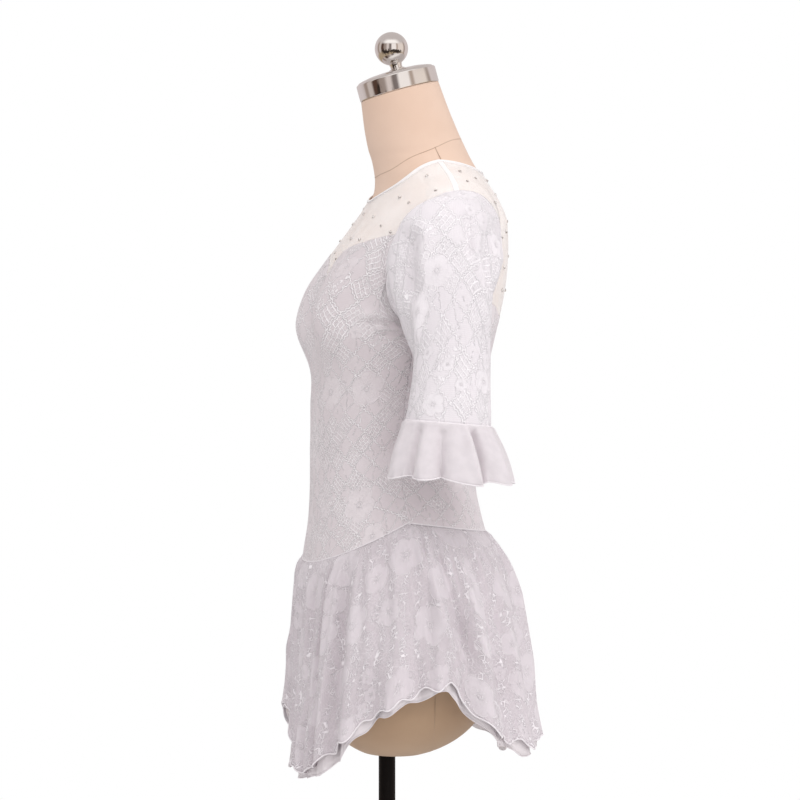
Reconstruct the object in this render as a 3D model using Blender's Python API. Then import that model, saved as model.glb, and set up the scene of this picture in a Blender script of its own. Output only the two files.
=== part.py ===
"""Figure skating dress on a limbless dress form with a round stand.

The frame is metres, +Z up, with the origin on the floor under the pole. The dress faces -Y, so the
wearer's left is +X. "around" is the angle about the body: 0 at the centre front, 90 degrees at the
wearer's left side and 180 at the centre back. Tables and sizes are in millimetres.
"""

import math

import bmesh
import bpy
import numpy as np

MM = 0.001

# Cloth walls and the clearances between them.
FORM_CLEARANCE = 1.3
FORM_INSET = 1.0
BODICE_WALL = 1.4
MESH_WALL = 1.2
LINING_CLEARANCE = 1.0
LACE_WALL = 1.2
LINING_WALL = 1.0
RUFFLE_WALL = 1.0
SEAM_GAP = 0.4
SIDE_SEAM_GAP = 0.6
LAP_CLEARANCE = 0.9

# The dress form, a row for each level section. front, back and widest are Y places, widest where the
# section has its full half width. squareness is 2 for an ellipse. slope tips a section, front down.
BODY_COLUMNS = ("height", "half_width", "front", "back", "widest", "squareness", "slope")
BODY_SECTIONS = np.array([
    (740.0, 150.0, -88.0, 122.0, 17.0, 2.15, 0.0),
    (790.0, 161.0, -95.0, 131.0, 16.0, 2.15, 0.0),
    (845.0, 164.0, -98.0, 129.0, 14.0, 2.15, 0.0),
    (885.0, 157.0, -96.0, 121.0, 12.0, 2.15, 0.0),
    (929.0, 140.0, -90.0, 109.0, 9.0, 2.15, 0.0),
    (965.0, 124.0, -88.5, 102.0, 6.0, 2.15, 0.0),
    (1001.0, 116.0, -88.5, 101.0, 6.0, 2.15, 0.0),
    (1037.0, 117.0, -88.0, 103.5, 7.0, 2.15, 0.0),
    (1073.0, 122.0, -87.0, 107.5, 9.0, 2.2, 0.0),
    (1109.0, 130.0, -81.5, 114.5, 13.0, 2.3, 0.0),
    (1145.0, 137.0, -76.0, 121.5, 17.0, 2.4, 0.0),
    (1181.0, 141.0, -71.0, 129.5, 22.0, 2.5, 0.0),
    (1217.0, 145.0, -67.0, 134.5, 30.0, 2.6, 0.0),
    (1241.0, 150.0, -58.0, 135.5, 36.0, 2.6, 0.0),
    (1265.0, 158.0, -45.0, 135.0, 42.0, 2.5, 0.0),
    (1289.0, 167.0, -30.0, 133.0, 46.0, 2.25, 0.0),
    (1301.0, 167.0, -23.0, 130.0, 48.0, 2.0, 0.0),
    (1313.0, 157.0, -17.5, 127.0, 50.0, 1.8, 0.0),
    (1325.0, 133.0, -14.0, 123.0, 51.0, 1.65, 0.0),
    (1337.0, 105.0, -13.5, 117.5, 51.0, 1.65, 0.0),
    (1349.0, 79.0, -15.0, 110.5, 49.0, 1.8, 0.0),
    (1361.0, 65.0, -17.5, 102.5, 44.0, 1.95, 0.0),
    (1378.0, 58.0, -21.5, 91.5, 35.0, 2.0, 0.09),
    (1404.0, 53.0, -26.0, 78.0, 26.0, 2.0, 0.19),
    (1443.0, 48.5, -30.7, 61.9, 15.6, 2.0, 0.277),
])
BODY_SLOPES = np.gradient(BODY_SECTIONS, BODY_SECTIONS[:, 0], axis=0)

# The form's bust, two soft mounds.
BUST_APART = 74.0
BUST_HEIGHT = 1168.0
BUST_DEPTH = 32.0
BUST_HALF_WIDTH = 38.0
BUST_RISE = 45.0
BUST_FALL = 34.0

# The form's rounded underside, below its lowest section, and the flat where the pole meets it.
FORM_BOTTOM = 652.0
DOME_RINGS = 5
DOME_FLAT = 0.34
NECK_EASE = 25.0

# The form's sides, and its rings: a height, and the number of steps up to the next one.
FORM_SIDES = 36
FORM_RINGS = (
    (740.0, 3),
    (884.0, 5),
    (1034.0, 2),
    (1097.0, 7),
    (1241.0, 3),
    (1301.0, 6),
    (1373.0, 2),
    (1400.0, 2),
    (1443.0, 0),
)

# Seams of the bodice, as angles about the body and heights, and the body's half depth at them.
BODY_DEPTH = 95.0
SHOULDER_DEPTH = 65.0
SIDE_SEAM = 84.0
SHOULDER_SEAM = 90.0
ARMHOLE_FRONT = 62.0
ARMHOLE_BACK = 130.0
ARMHOLE_TURN = 2.5
ARMHOLE_COLUMNS = (1.0, 0.964, 0.88, 0.77, 0.59, 0.4)
ARMHOLE_TOP = 1306.0
ARMHOLE_MIDDLE = 1235.0
ARMHOLE_BOTTOM = 1150.0
ARMHOLE_ROUNDING = {"upper": 2.6, "lower": 2.0}
ARMHOLE_LAP_TURN = 1.2
ARMHOLE_LAP_RISE = 3.0
SWEETHEART_LOW = 1217.0
SWEETHEART_RISE = 40.0
SWEETHEART_SPREAD = 14.0
BACK_LACE_TOP = 1173.0
BACK_LACE_RISE = 14.0
NECK_FRONT = 1308.0
NECK_SIDE = 1353.0
NECK_BACK = 1349.0
BINDING_WIDTH = 3.6
BINDING_WALL = 1.9
TAPE_WIDTH = 6.0
TAPE_END = 4.0
TAPE_START = 1.0
TAPE_ROWS = 7
TAPE_CLEARANCE = 0.7
TAPE_WALL = 1.2

# The hip seam lies in two planes that meet at the side seams.
HIP_SEAM_SIDE = 932.0
HIP_SEAM_SIDE_Y = -1.5
HIP_SEAM_FRONT_FALL = 0.53
HIP_SEAM_BACK_FALL = 0.127
HIP_SEAM_GAP = 0.5

# The skirt's folds, a row for each ridge: its angle about the body, its depth at the hem, and how far
# its hem hangs below the hem line.
SKIRT_FOLDS = np.array([
    (-167.0, 16.0, 3.0),
    (-146.0, 14.0, 0.0),
    (-126.0, 17.0, 4.0),
    (-110.0, 13.0, 1.0),
    (-94.0, 15.0, 5.0),
    (-74.0, 17.0, 0.0),
    (-52.0, 13.0, 3.0),
    (-34.0, 11.0, 2.0),
    (-19.0, 8.0, 0.0),
    (-8.0, 9.0, 2.0),
    (3.0, 6.0, 0.0),
    (12.0, 6.0, 2.0),
    (21.0, 9.0, 0.0),
    (30.0, 8.0, 3.0),
    (40.0, 12.0, 0.0),
    (55.0, 15.0, 4.0),
    (74.0, 16.0, 2.0),
    (94.0, 15.0, 5.0),
    (113.0, 17.0, 0.0),
    (134.0, 14.0, 4.0),
    (154.0, 11.0, 0.0),
    (174.0, 11.0, 3.0),
])
FOLD_FULL_DROP = 200.0
FOLD_GROWTH = 0.8
FOLD_MIDDLE = 10.5
FOLD_COLUMNS = 4
SKIRT_ROWS = 6
SKIRT_ROW_SPACING = 1.25

# The skirt's hem lines, a row for each place about the body: the lace layer's height, and how far
# the lining hangs below it.
HEM_LINES = np.array([
    (-180.0, 683.0, 10.0),
    (-168.0, 669.0, 9.0),
    (-160.0, 652.0, 8.0),
    (-153.0, 645.0, 8.0),
    (-146.0, 655.0, 9.0),
    (-137.0, 674.0, 9.0),
    (-125.0, 704.0, 9.0),
    (-112.0, 734.0, 9.0),
    (-98.0, 747.0, 9.0),
    (-87.0, 718.0, 9.0),
    (-80.0, 655.0, 8.0),
    (-75.0, 626.0, 8.0),
    (-67.0, 614.0, 8.0),
    (-56.0, 615.0, 8.0),
    (-46.0, 632.0, 8.0),
    (-40.0, 670.0, 9.0),
    (-33.0, 702.0, 9.0),
    (-14.0, 701.0, 9.0),
    (-4.0, 697.0, 9.0),
    (3.0, 676.0, 8.0),
    (9.0, 656.0, 8.0),
    (16.0, 646.0, 8.0),
    (26.0, 643.0, 9.0),
    (36.0, 653.0, 13.0),
    (47.0, 672.0, 19.0),
    (57.0, 697.0, 14.0),
    (67.0, 720.0, 9.0),
    (84.0, 744.0, 10.0),
    (99.0, 753.0, 12.0),
    (108.0, 716.0, 9.0),
    (115.0, 697.0, 9.0),
    (124.0, 686.0, 12.0),
    (134.0, 680.0, 15.0),
    (145.0, 678.0, 10.0),
    (160.0, 678.0, 9.0),
    (180.0, 683.0, 10.0),
])
HEM_SLOPES = np.gradient(HEM_LINES, HEM_LINES[:, 0], axis=0)

# How far the skirt stands off the body: at once under the seam, and for each millimetre of drop.
SKIRT_PUFF = {"front": 4.5, "side": 6.0, "back": 12.0}
SKIRT_FLARE = {"front": 0.11, "side": 0.165, "back": 0.162}
PUFF_DROP = 12.0
LAYER_SPREAD = 1.2
LAYER_FLARE = 0.008
LINING_FOLD_SHARE = 0.88
FULLEST_HIP = 845.0

# The left sleeve under its cap, a row for each section. A section's outer and inner points are given
# as X and height, and its front and back as Y. trough is how far its two long folds sink in.
SLEEVE_COLUMNS = ("outer_x", "outer_z", "inner_x", "inner_z", "front", "back", "trough")
SLEEVE_SECTIONS = np.array([
    (188.0, 1303.0, 146.0, 1152.0, -30.0, 101.0, 0.8),
    (203.0, 1286.0, 151.0, 1141.0, -28.5, 95.0, 2.6),
    (213.0, 1256.0, 154.0, 1126.0, -23.0, 85.0, 3.8),
    (218.0, 1221.0, 156.0, 1108.0, -13.0, 82.5, 3.6),
    (220.0, 1182.0, 157.0, 1093.0, -5.5, 83.0, 2.6),
    (220.0, 1142.0, 157.0, 1078.0, -5.5, 83.0, 1.6),
    (220.0, 1100.0, 156.0, 1064.0, -9.0, 83.0, 0.8),
    (221.0, 1050.0, 154.0, 1050.0, -14.0, 84.0, 0.0),
])
SLEEVE_SQUARENESS = 2.15
SLEEVE_SIDES = 26
SLEEVE_FRONT_TROUGH = 205.0
SLEEVE_BACK_TROUGH = 32.0
TROUGH_HALF_WIDTH = 17.0
CUFF_SEAM_FALL = 0.08
CUFF_SEAM_GAP = 0.4

# The cuff ruffle, a row for each wave: its angle about the sleeve and its depth at the edge.
RUFFLE_WAVES = np.array([
    (38.0, 12.0),
    (86.0, 10.0),
    (122.0, 9.0),
    (165.0, 10.0),
    (204.0, 8.0),
    (240.0, 9.0),
    (276.0, 8.0),
    (314.0, 10.0),
    (354.0, 8.0),
])
RUFFLE_LENGTH = 60.0
RUFFLE_SPREAD = {"front": 15.0, "back": 22.0, "side": 12.0}
RUFFLE_OPENING = 1.7
RUFFLE_WAVE_MIDDLE = 4.0
RUFFLE_WAVE_GROWTH = 0.8
RUFFLE_EDGE_DIP = 0.4
RUFFLE_RINGS = 4
WAVE_COLUMNS = 5

# The neck cap and its ball, in the tipped plane of the neck's end.
CAP_RADIUS = 48.8
CAP_HEIGHT = 20.0
CAP_EDGE = 1.6
STUD_RADIUS = 8.6
STUD_HEIGHT = 16.0
STUD_WAIST = 0.86
BALL_SEAT = 0.8
BALL_RADIUS = 20.0
BALL_OFFSET = 4.0

# The stand.
POLE_RADIUS = 10.0
BASE_RADIUS = 160.0
BASE_HEIGHT = 8.0
BASE_EDGE = 2.0
COLLAR_RADIUS = 32.0
COLLAR_HEIGHT = 24.0
COLLAR_CLEARANCE = 0.5
COLLAR_FLANGE = 4.0
COLLAR_SLOPE = 7.0
COLLAR_WALL = 4.0
COLLAR_ROUNDING = 1.5

COLOURS = {
    "white_lace": (0.86, 0.82, 0.84),
    "sheer_mesh": (0.90, 0.86, 0.84),
    "chiffon": (0.88, 0.85, 0.87),
    "form_cover": (0.80, 0.60, 0.46),
    "chrome": (0.80, 0.78, 0.76),
    "black_metal": (0.02, 0.02, 0.02),
}
FINISHES = {
    "white_lace": (0.85, 0.0),
    "sheer_mesh": (0.7, 0.0),
    "chiffon": (0.7, 0.0),
    "form_cover": (0.75, 0.0),
    "chrome": (0.12, 1.0),
    "black_metal": (0.35, 0.0),
}


def material(name):
    """A Principled material of that colour and finish, made once."""
    found = bpy.data.materials.get(name)
    if found:
        return found
    made = bpy.data.materials.new(name)
    made.use_nodes = True
    shader = made.node_tree.nodes["Principled BSDF"]
    shader.inputs["Base Color"].default_value = (*COLOURS[name], 1.0)
    shader.inputs["Roughness"].default_value = FINISHES[name][0]
    shader.inputs["Metallic"].default_value = FINISHES[name][1]
    made.diffuse_color = (*COLOURS[name], 1.0)
    return made


def smooth_row(table, slopes, key):
    """Every column of a table at a key between its rows, on a smooth curve through the rows."""
    keys = table[:, 0]
    i = int(np.clip(np.searchsorted(keys, key) - 1, 0, len(keys) - 2))
    span = keys[i + 1] - keys[i]
    t = (key - keys[i]) / span
    start = (1 + 2 * t) * (1 - t) ** 2 * table[i] + t * (1 - t) ** 2 * span * slopes[i]
    end = t * t * (3 - 2 * t) * table[i + 1] + t * t * (t - 1) * span * slopes[i + 1]
    return start + end


def turned(angle, low=-180.0):
    """The same direction as an angle in the full turn that starts at low."""
    return (angle - low) % 360 + low


def smooth_step(low, high, value):
    t = min(max((value - low) / (high - low), 0.0), 1.0)
    return t * t * (3 - 2 * t)


def squared_circle(angle, squareness):
    """Cosine and sine of an angle, pushed out from a circle to a rounded square."""
    c, s = math.cos(angle), math.sin(angle)
    reach = (abs(c) ** squareness + abs(s) ** squareness) ** (-1 / squareness)
    return c * reach, s * reach


def bust_depth(x, height):
    spread = BUST_RISE if height > BUST_HEIGHT else BUST_FALL
    level = math.exp(-0.5 * ((height - BUST_HEIGHT) / spread) ** 2)
    sides = (math.exp(-0.5 * ((x - side * BUST_APART) / BUST_HALF_WIDTH) ** 2) for side in (-1, 1))
    return BUST_DEPTH * level * sum(sides)


def body_point(around, height):
    """A point of the dress form's surface. around is in degrees."""
    row = dict(zip(BODY_COLUMNS, smooth_row(BODY_SECTIONS, BODY_SLOPES, height)))
    forward, side = squared_circle(math.radians(around), row["squareness"])
    depth = row["widest"] - row["front"] if forward > 0 else row["back"] - row["widest"]
    x = row["half_width"] * side
    y = row["widest"] - depth * forward
    y -= bust_depth(x, height) * smooth_step(0.0, 0.5, forward)
    return np.array((x, y, height + row["slope"] * (y - row["widest"])))


def body_normal(around, height):
    turn = body_point(around + 0.5, height) - body_point(around - 0.5, height)
    rise = body_point(around, height + 1.0) - body_point(around, height - 1.0)
    normal = np.cross(turn, rise)
    return normal / np.linalg.norm(normal)


def off_body(around, height, distance):
    return body_point(around, height) + distance * body_normal(around, height)


def add_object(name, points, faces, material_name):
    """An object from points in millimetres, with its faces turned outwards and cut the short way."""
    mesh = bpy.data.meshes.new(name)
    mesh.from_pydata([tuple(float(v) * MM for v in p) for p in points], [], faces)
    made = bmesh.new()
    made.from_mesh(mesh)
    bmesh.ops.recalc_face_normals(made, faces=made.faces)
    bmesh.ops.triangulate(made, faces=made.faces, quad_method="SHORT_EDGE")
    made.to_mesh(mesh)
    made.free()
    mesh.shade_smooth()
    mesh.set_sharp_from_angle(angle=math.radians(40))
    mesh.materials.append(material(material_name))
    placed = bpy.data.objects.new(name, mesh)
    bpy.context.scene.collection.objects.link(placed)
    return placed


def cloth_wall(name, outer, inner, closed, material_name):
    """A cloth panel between two grids of points, given as rows. A closed panel goes all the way round."""
    rows, columns = len(outer), len(outer[0])
    points = [p for grid in (outer, inner) for row in grid for p in row]
    other = rows * columns

    def at(row, column, side):
        return side * other + row * columns + column % columns

    faces = []
    for i in range(columns if closed else columns - 1):
        for j in range(rows - 1):
            faces.append((at(j, i, 0), at(j, i + 1, 0), at(j + 1, i + 1, 0), at(j + 1, i, 0)))
            faces.append((at(j, i, 1), at(j + 1, i, 1), at(j + 1, i + 1, 1), at(j, i + 1, 1)))
        for j in (0, rows - 1):
            faces.append((at(j, i, 0), at(j, i, 1), at(j, i + 1, 1), at(j, i + 1, 0)))
    if not closed:
        for i in (0, columns - 1):
            for j in range(rows - 1):
                faces.append((at(j, i, 0), at(j + 1, i, 0), at(j + 1, i, 1), at(j, i, 1)))
    return add_object(name, points, faces, material_name)


def grid_normals(grid):
    """Outward normals of a closed grid of rows, from its neighbouring points."""
    turn = np.roll(grid, -1, axis=1) - np.roll(grid, 1, axis=1)
    rise = np.gradient(grid, axis=0)
    normals = np.cross(turn, rise)
    return normals / np.linalg.norm(normals, axis=2, keepdims=True)


def armhole_height(around, edge):
    """The height of the armhole's upper or lower edge at an angle about the body."""
    middle = (ARMHOLE_FRONT + ARMHOLE_BACK) / 2
    share = min(abs(abs(turned(around)) - middle) / (ARMHOLE_BACK - middle), 1.0)
    rise = (1 - share ** ARMHOLE_ROUNDING[edge]) ** (1 / ARMHOLE_ROUNDING[edge])
    reach = (ARMHOLE_TOP if edge == "upper" else ARMHOLE_BOTTOM) - ARMHOLE_MIDDLE
    return ARMHOLE_MIDDLE + reach * rise


def neck_height(around):
    """The neckline: low at the front, high over the shoulders and a little lower behind."""
    around = abs(turned(around))
    if around <= SHOULDER_SEAM:
        share = 0.5 - 0.5 * math.cos(math.pi * around / SHOULDER_SEAM)
        return NECK_FRONT + (NECK_SIDE - NECK_FRONT) * share
    return NECK_SIDE + (NECK_BACK - NECK_SIDE) * smooth_step(SHOULDER_SEAM, 180, around)


def sweetheart_height(around):
    return SWEETHEART_LOW + SWEETHEART_RISE * (1 - math.exp(-abs(around) / SWEETHEART_SPREAD))


def back_lace_height(around):
    """The top edge of the back's lace, which dips at the centre back."""
    share = (180 - abs(turned(around))) / (180 - ARMHOLE_BACK)
    return BACK_LACE_TOP + BACK_LACE_RISE * smooth_step(0, 1, share)


def hip_seam_plane(y):
    """The height of the seam between bodice and skirt at a Y place."""
    away = y - HIP_SEAM_SIDE_Y
    return HIP_SEAM_SIDE - abs(away) * (HIP_SEAM_FRONT_FALL if away < 0 else HIP_SEAM_BACK_FALL)


def hip_seam_height(around):
    """The height where the hip seam meets the body."""
    height = HIP_SEAM_SIDE
    for _ in range(6):
        height = hip_seam_plane(body_point(around, height)[1])
    return height


def spaced(*stops):
    """Values through the stops, each with the number of steps to the next one."""
    values = []
    for (start, steps), (end, _) in zip(stops, stops[1:]):
        values += list(np.linspace(start, end, steps, endpoint=False))
    return values + [stops[-1][0]]


def half_gap(gap, depth):
    """Half a seam's gap as an angle about the body, where the body is that deep."""
    return math.degrees(gap / 2 / depth)


def armhole_angles():
    """The armhole's middle, and how far its columns lie from there, widest first."""
    middle = (ARMHOLE_FRONT + ARMHOLE_BACK) / 2
    return middle, [share * (ARMHOLE_BACK - middle) for share in ARMHOLE_COLUMNS]


def front_angles(edge):
    """Angles over the front between two side edges, closest together at the armholes."""
    middle, reaches = armhole_angles()
    half = spaced((0.0, 7), (ARMHOLE_FRONT - ARMHOLE_TURN, 0)) + [middle - r for r in reaches]
    half += spaced((half[-1], 2), (edge, 0))[1:]
    return [-a for a in half[:0:-1]] + half


def back_angles(edge):
    """Angles round the back between two side edges, closest together at the armholes."""
    middle, reaches = armhole_angles()
    arm = [middle + r for r in reversed(reaches)]
    half = spaced((edge, 2), (arm[0], 0)) + arm[1:]
    half += spaced((ARMHOLE_BACK + ARMHOLE_TURN, 4), (180.0, 0))
    return half + [360 - a for a in half[-2::-1]]


def body_panel(arounds, bottom, top, shares, wall):
    """The outer and inner grids of a panel on the form, between two edges given as heights."""
    grids = []
    for distance in (FORM_CLEARANCE + wall, FORM_CLEARANCE):
        levels = []
        for share in shares:
            heights = [bottom(a) + (top(a) - bottom(a)) * share for a in arounds]
            levels.append([off_body(a, h, distance) for a, h in zip(arounds, heights)])
        grids.append(levels)
    return grids


def make_bodice():
    """Lace front and back, joined at the side seams, up to the sheer yoke."""
    edge = SIDE_SEAM - half_gap(SIDE_SEAM_GAP, BODY_DEPTH)

    def front_top(around):
        top = sweetheart_height(around) - SEAM_GAP / 2
        if abs(around) < ARMHOLE_FRONT - 0.01:
            return top
        return min(top, armhole_height(around, "lower"))

    shares = spaced((0.0, 4), (0.5, 10), (1.0, 0))
    grids = body_panel(front_angles(edge), hip_seam_height, front_top, shares, BODICE_WALL)
    trim_to_hip_seam(grids)
    cloth_wall("bodice_front", *grids, False, "white_lace")

    edge = SIDE_SEAM + half_gap(SIDE_SEAM_GAP, BODY_DEPTH)

    def back_top(around):
        top = back_lace_height(around) - SEAM_GAP / 2
        if abs(turned(around)) > ARMHOLE_BACK + 0.01:
            return top
        return min(top, armhole_height(around, "lower"))

    shares = spaced((0.0, 10), (1.0, 0))
    grids = body_panel(back_angles(edge), hip_seam_height, back_top, shares, BODICE_WALL)
    trim_to_hip_seam(grids)
    cloth_wall("bodice_back", *grids, False, "white_lace")


def trim_to_hip_seam(grids):
    """Puts a panel's lowest row on the upper side of the hip seam."""
    for grid in grids:
        for point in grid[0]:
            point[2] = hip_seam_plane(point[1]) + HIP_SEAM_GAP / 2


def make_yoke():
    """Sheer mesh over the chest, shoulders and upper back, with its neck binding and shoulder tapes."""
    edge = SHOULDER_SEAM - half_gap(SEAM_GAP, SHOULDER_DEPTH)
    front = front_angles(edge)

    def front_bottom(around):
        bottom = sweetheart_height(around) + SEAM_GAP / 2
        if abs(around) < ARMHOLE_FRONT - 0.01:
            return bottom
        return max(bottom, armhole_height(around, "upper"))

    shares = spaced((0.0, 7), (1.0, 0))
    grids = body_panel(front, front_bottom, neck_height, shares, MESH_WALL)
    cloth_wall("yoke_front", *grids, False, "sheer_mesh")

    edge = SHOULDER_SEAM + half_gap(SEAM_GAP, SHOULDER_DEPTH)
    back = back_angles(edge)

    def back_bottom(around):
        bottom = back_lace_height(around) + SEAM_GAP / 2
        if abs(turned(around)) > ARMHOLE_BACK + 0.01:
            return bottom
        return max(bottom, armhole_height(around, "upper"))

    shares = spaced((0.0, 8), (1.0, 0))
    grids = body_panel(back, back_bottom, neck_height, shares, MESH_WALL)
    cloth_wall("yoke_back", *grids, False, "sheer_mesh")

    middle = (BINDING_WALL - MESH_WALL) / 2
    grids = []
    for distance in (FORM_CLEARANCE + MESH_WALL + middle, FORM_CLEARANCE - middle):
        rows = []
        for lift in (SEAM_GAP, SEAM_GAP + BINDING_WIDTH):
            rows.append([off_body(a, neck_height(a) + lift, distance) for a in front + back])
        grids.append(rows)
    cloth_wall("neck_binding", *grids, True, "chiffon")
    for side, word in ((1, "left"), (-1, "right")):
        make_shoulder_tape(f"shoulder_tape_{word}", side)


def make_shoulder_tape(name, side):
    """The narrow doubled strip over the shoulder seam, from the neck binding to the sleeve head."""
    clearance = FORM_CLEARANCE + MESH_WALL + TAPE_CLEARANCE
    grids = []
    for distance in (clearance + TAPE_WALL, clearance):
        rows = []
        for height in np.linspace(ARMHOLE_TOP + TAPE_END, NECK_SIDE - TAPE_START, TAPE_ROWS):
            half = math.degrees(TAPE_WIDTH / 2 / SHOULDER_DEPTH)
            arounds = [side * (SHOULDER_SEAM + turn * half) for turn in (-1, 0, 1)]
            rows.append([off_body(a, height, distance) for a in arounds])
        grids.append(rows)
    cloth_wall(name, *grids, False, "sheer_mesh")


def cosine_waves(table, angle, column):
    """A smooth value that peaks at each row's angle and sinks to nothing midway to the next row."""
    angles = table[:, 0]
    i = int(np.searchsorted(angles, angle, side="right")) - 1
    j = (i + 1) % len(angles)
    start = angles[i] if i >= 0 else angles[i] - 360
    end = angles[j] if angles[j] > start else angles[j] + 360
    share = (angle - start) / (end - start)
    height = table[i, column] * (1 - share) + table[j, column] * share
    return height * (0.5 + 0.5 * math.cos(2 * math.pi * share))


def wave_angles(table, steps):
    """Angles with that many steps between each pair of neighbouring rows."""
    angles = []
    for start, end in zip(table[:, 0], [*table[1:, 0], table[0, 0] + 360]):
        angles += list(np.linspace(start, end, steps, endpoint=False))
    return angles


def by_side(values, around):
    """A value between its front, side and back sizes, by the angle about the body."""
    forward = math.cos(math.radians(around))
    end = values["front"] if forward > 0 else values["back"]
    return values["side"] + (end - values["side"]) * forward * forward


def hem_height(around, below):
    """The height of the lace's hem, or of the lining's where below is 1."""
    _, lace, lower = smooth_row(HEM_LINES, HEM_SLOPES, around)
    return lace - lower * below


def skirt_point(around, seam, height, layer):
    """A point of a skirt layer, at a height below the seam."""
    drop = max(seam - height, 0.0)
    away = 1 - math.exp(-drop / PUFF_DROP)
    standing = (by_side(SKIRT_PUFF, around) - layer["spread"]) * away
    standing += (by_side(SKIRT_FLARE, around) - layer["flare"]) * drop
    growth = (drop / FOLD_FULL_DROP) ** FOLD_GROWTH
    fold = cosine_waves(SKIRT_FOLDS, around, 1) * layer["fold_share"]
    standing += (fold - FOLD_MIDDLE) * growth
    level = max(height, FULLEST_HIP)
    outward = body_normal(around, level)
    outward[2] = 0.0
    outward /= np.linalg.norm(outward)
    point = body_point(around, level) + outward * (layer["off_body"] + max(standing, 0.0))
    point[2] = height
    return point


def make_skirt_layer(name, layer, material_name):
    arounds = [turned(a) for a in wave_angles(SKIRT_FOLDS, FOLD_COLUMNS)]
    grid = []
    for j in range(SKIRT_ROWS):
        t = (j / (SKIRT_ROWS - 1)) ** SKIRT_ROW_SPACING
        row = []
        for around in arounds:
            seam = hip_seam_height(around) - HIP_SEAM_GAP / 2
            hem = hem_height(around, layer["below"]) - cosine_waves(SKIRT_FOLDS, around, 2)
            row.append(skirt_point(around, seam, seam + (hem - seam) * t, layer))
        grid.append(row)
    outer = np.array(grid)
    inner = outer + grid_normals(outer) * layer["wall"]
    for point in (*outer[0], *inner[0]):
        point[2] = hip_seam_plane(point[1]) - HIP_SEAM_GAP / 2
    cloth_wall(name, outer, inner, True, material_name)


def make_skirt():
    """The lace layer and the plain layer under it, both gathered into the hip seam."""
    lining = {
        "wall": LINING_WALL,
        "off_body": LINING_CLEARANCE + LINING_WALL,
        "spread": LAYER_SPREAD,
        "flare": LAYER_FLARE,
        "fold_share": LINING_FOLD_SHARE,
        "below": 1.0,
    }
    lace = {
        "wall": LACE_WALL,
        "off_body": lining["off_body"] + SEAM_GAP + LACE_WALL,
        "spread": 0.0,
        "flare": 0.0,
        "fold_share": 1.0,
        "below": 0.0,
    }
    make_skirt_layer("skirt_lace", lace, "white_lace")
    make_skirt_layer("skirt_lining", lining, "chiffon")


def armhole_point(angle, side, distance):
    """A point just outside the armhole's edge. The angle is 0 at the back and 90 degrees at the top."""
    edge = "upper" if math.sin(math.radians(angle)) > 0 else "lower"
    back, up = squared_circle(math.radians(angle), ARMHOLE_ROUNDING[edge])
    middle = (ARMHOLE_FRONT + ARMHOLE_BACK) / 2
    around = middle + (ARMHOLE_BACK - middle + ARMHOLE_LAP_TURN) * back
    reach = ARMHOLE_TOP - ARMHOLE_MIDDLE if up > 0 else ARMHOLE_MIDDLE - ARMHOLE_BOTTOM
    point = off_body(around, ARMHOLE_MIDDLE + (reach + ARMHOLE_LAP_RISE) * up, distance)
    return point * (side, 1, 1)


def trough(angle):
    """Where the sleeve's two long folds sink in, from 0 to 1."""
    depth = 0.0
    for middle in (SLEEVE_FRONT_TROUGH, SLEEVE_BACK_TROUGH):
        away = turned(angle - middle)
        depth += math.exp(-0.5 * (away / TROUGH_HALF_WIDTH) ** 2)
    return depth


def sleeve_point(row, angle, side, inset):
    """A point of a sleeve section, inset from its outer face."""
    row = dict(zip(SLEEVE_COLUMNS, row))
    outer = np.array((row["outer_x"], 0.0, row["outer_z"]))
    inner = np.array((row["inner_x"], 0.0, row["inner_z"]))
    back, out = squared_circle(math.radians(angle), SLEEVE_SQUARENESS)
    middle = (outer + inner) / 2 + (0.0, (row["front"] + row["back"]) / 2, 0.0)
    across = (outer - inner) / 2
    reach = np.linalg.norm(across)
    half_depth = (row["back"] - row["front"]) / 2
    inset = inset + row["trough"] * trough(angle)
    point = middle + across * out * (1 - inset / reach)
    point[1] += (half_depth - inset) * back
    return point * (side, 1, 1)


def cuff_seam_fall(point):
    """How far the cuff's seam lies below its front end, at a point's Y."""
    return CUFF_SEAM_FALL * (point[1] - SLEEVE_SECTIONS[-1, 4])


def make_sleeve(name, side):
    """An elbow sleeve from its lapped edge at the armhole down to the cuff seam."""
    angles = np.linspace(0, 360, SLEEVE_SIDES, endpoint=False)
    lap = FORM_CLEARANCE + BODICE_WALL + LAP_CLEARANCE
    grids = []
    for inset in (0.0, LACE_WALL):
        rows = [[armhole_point(a, side, lap + LACE_WALL - inset) for a in angles]]
        for section in SLEEVE_SECTIONS:
            rows.append([sleeve_point(section, a, side, inset) for a in angles])
        for point in rows[-1]:
            point[2] -= cuff_seam_fall(point)
        grids.append(rows)
    cloth_wall(name, grids[0], grids[1], True, "white_lace")


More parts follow.
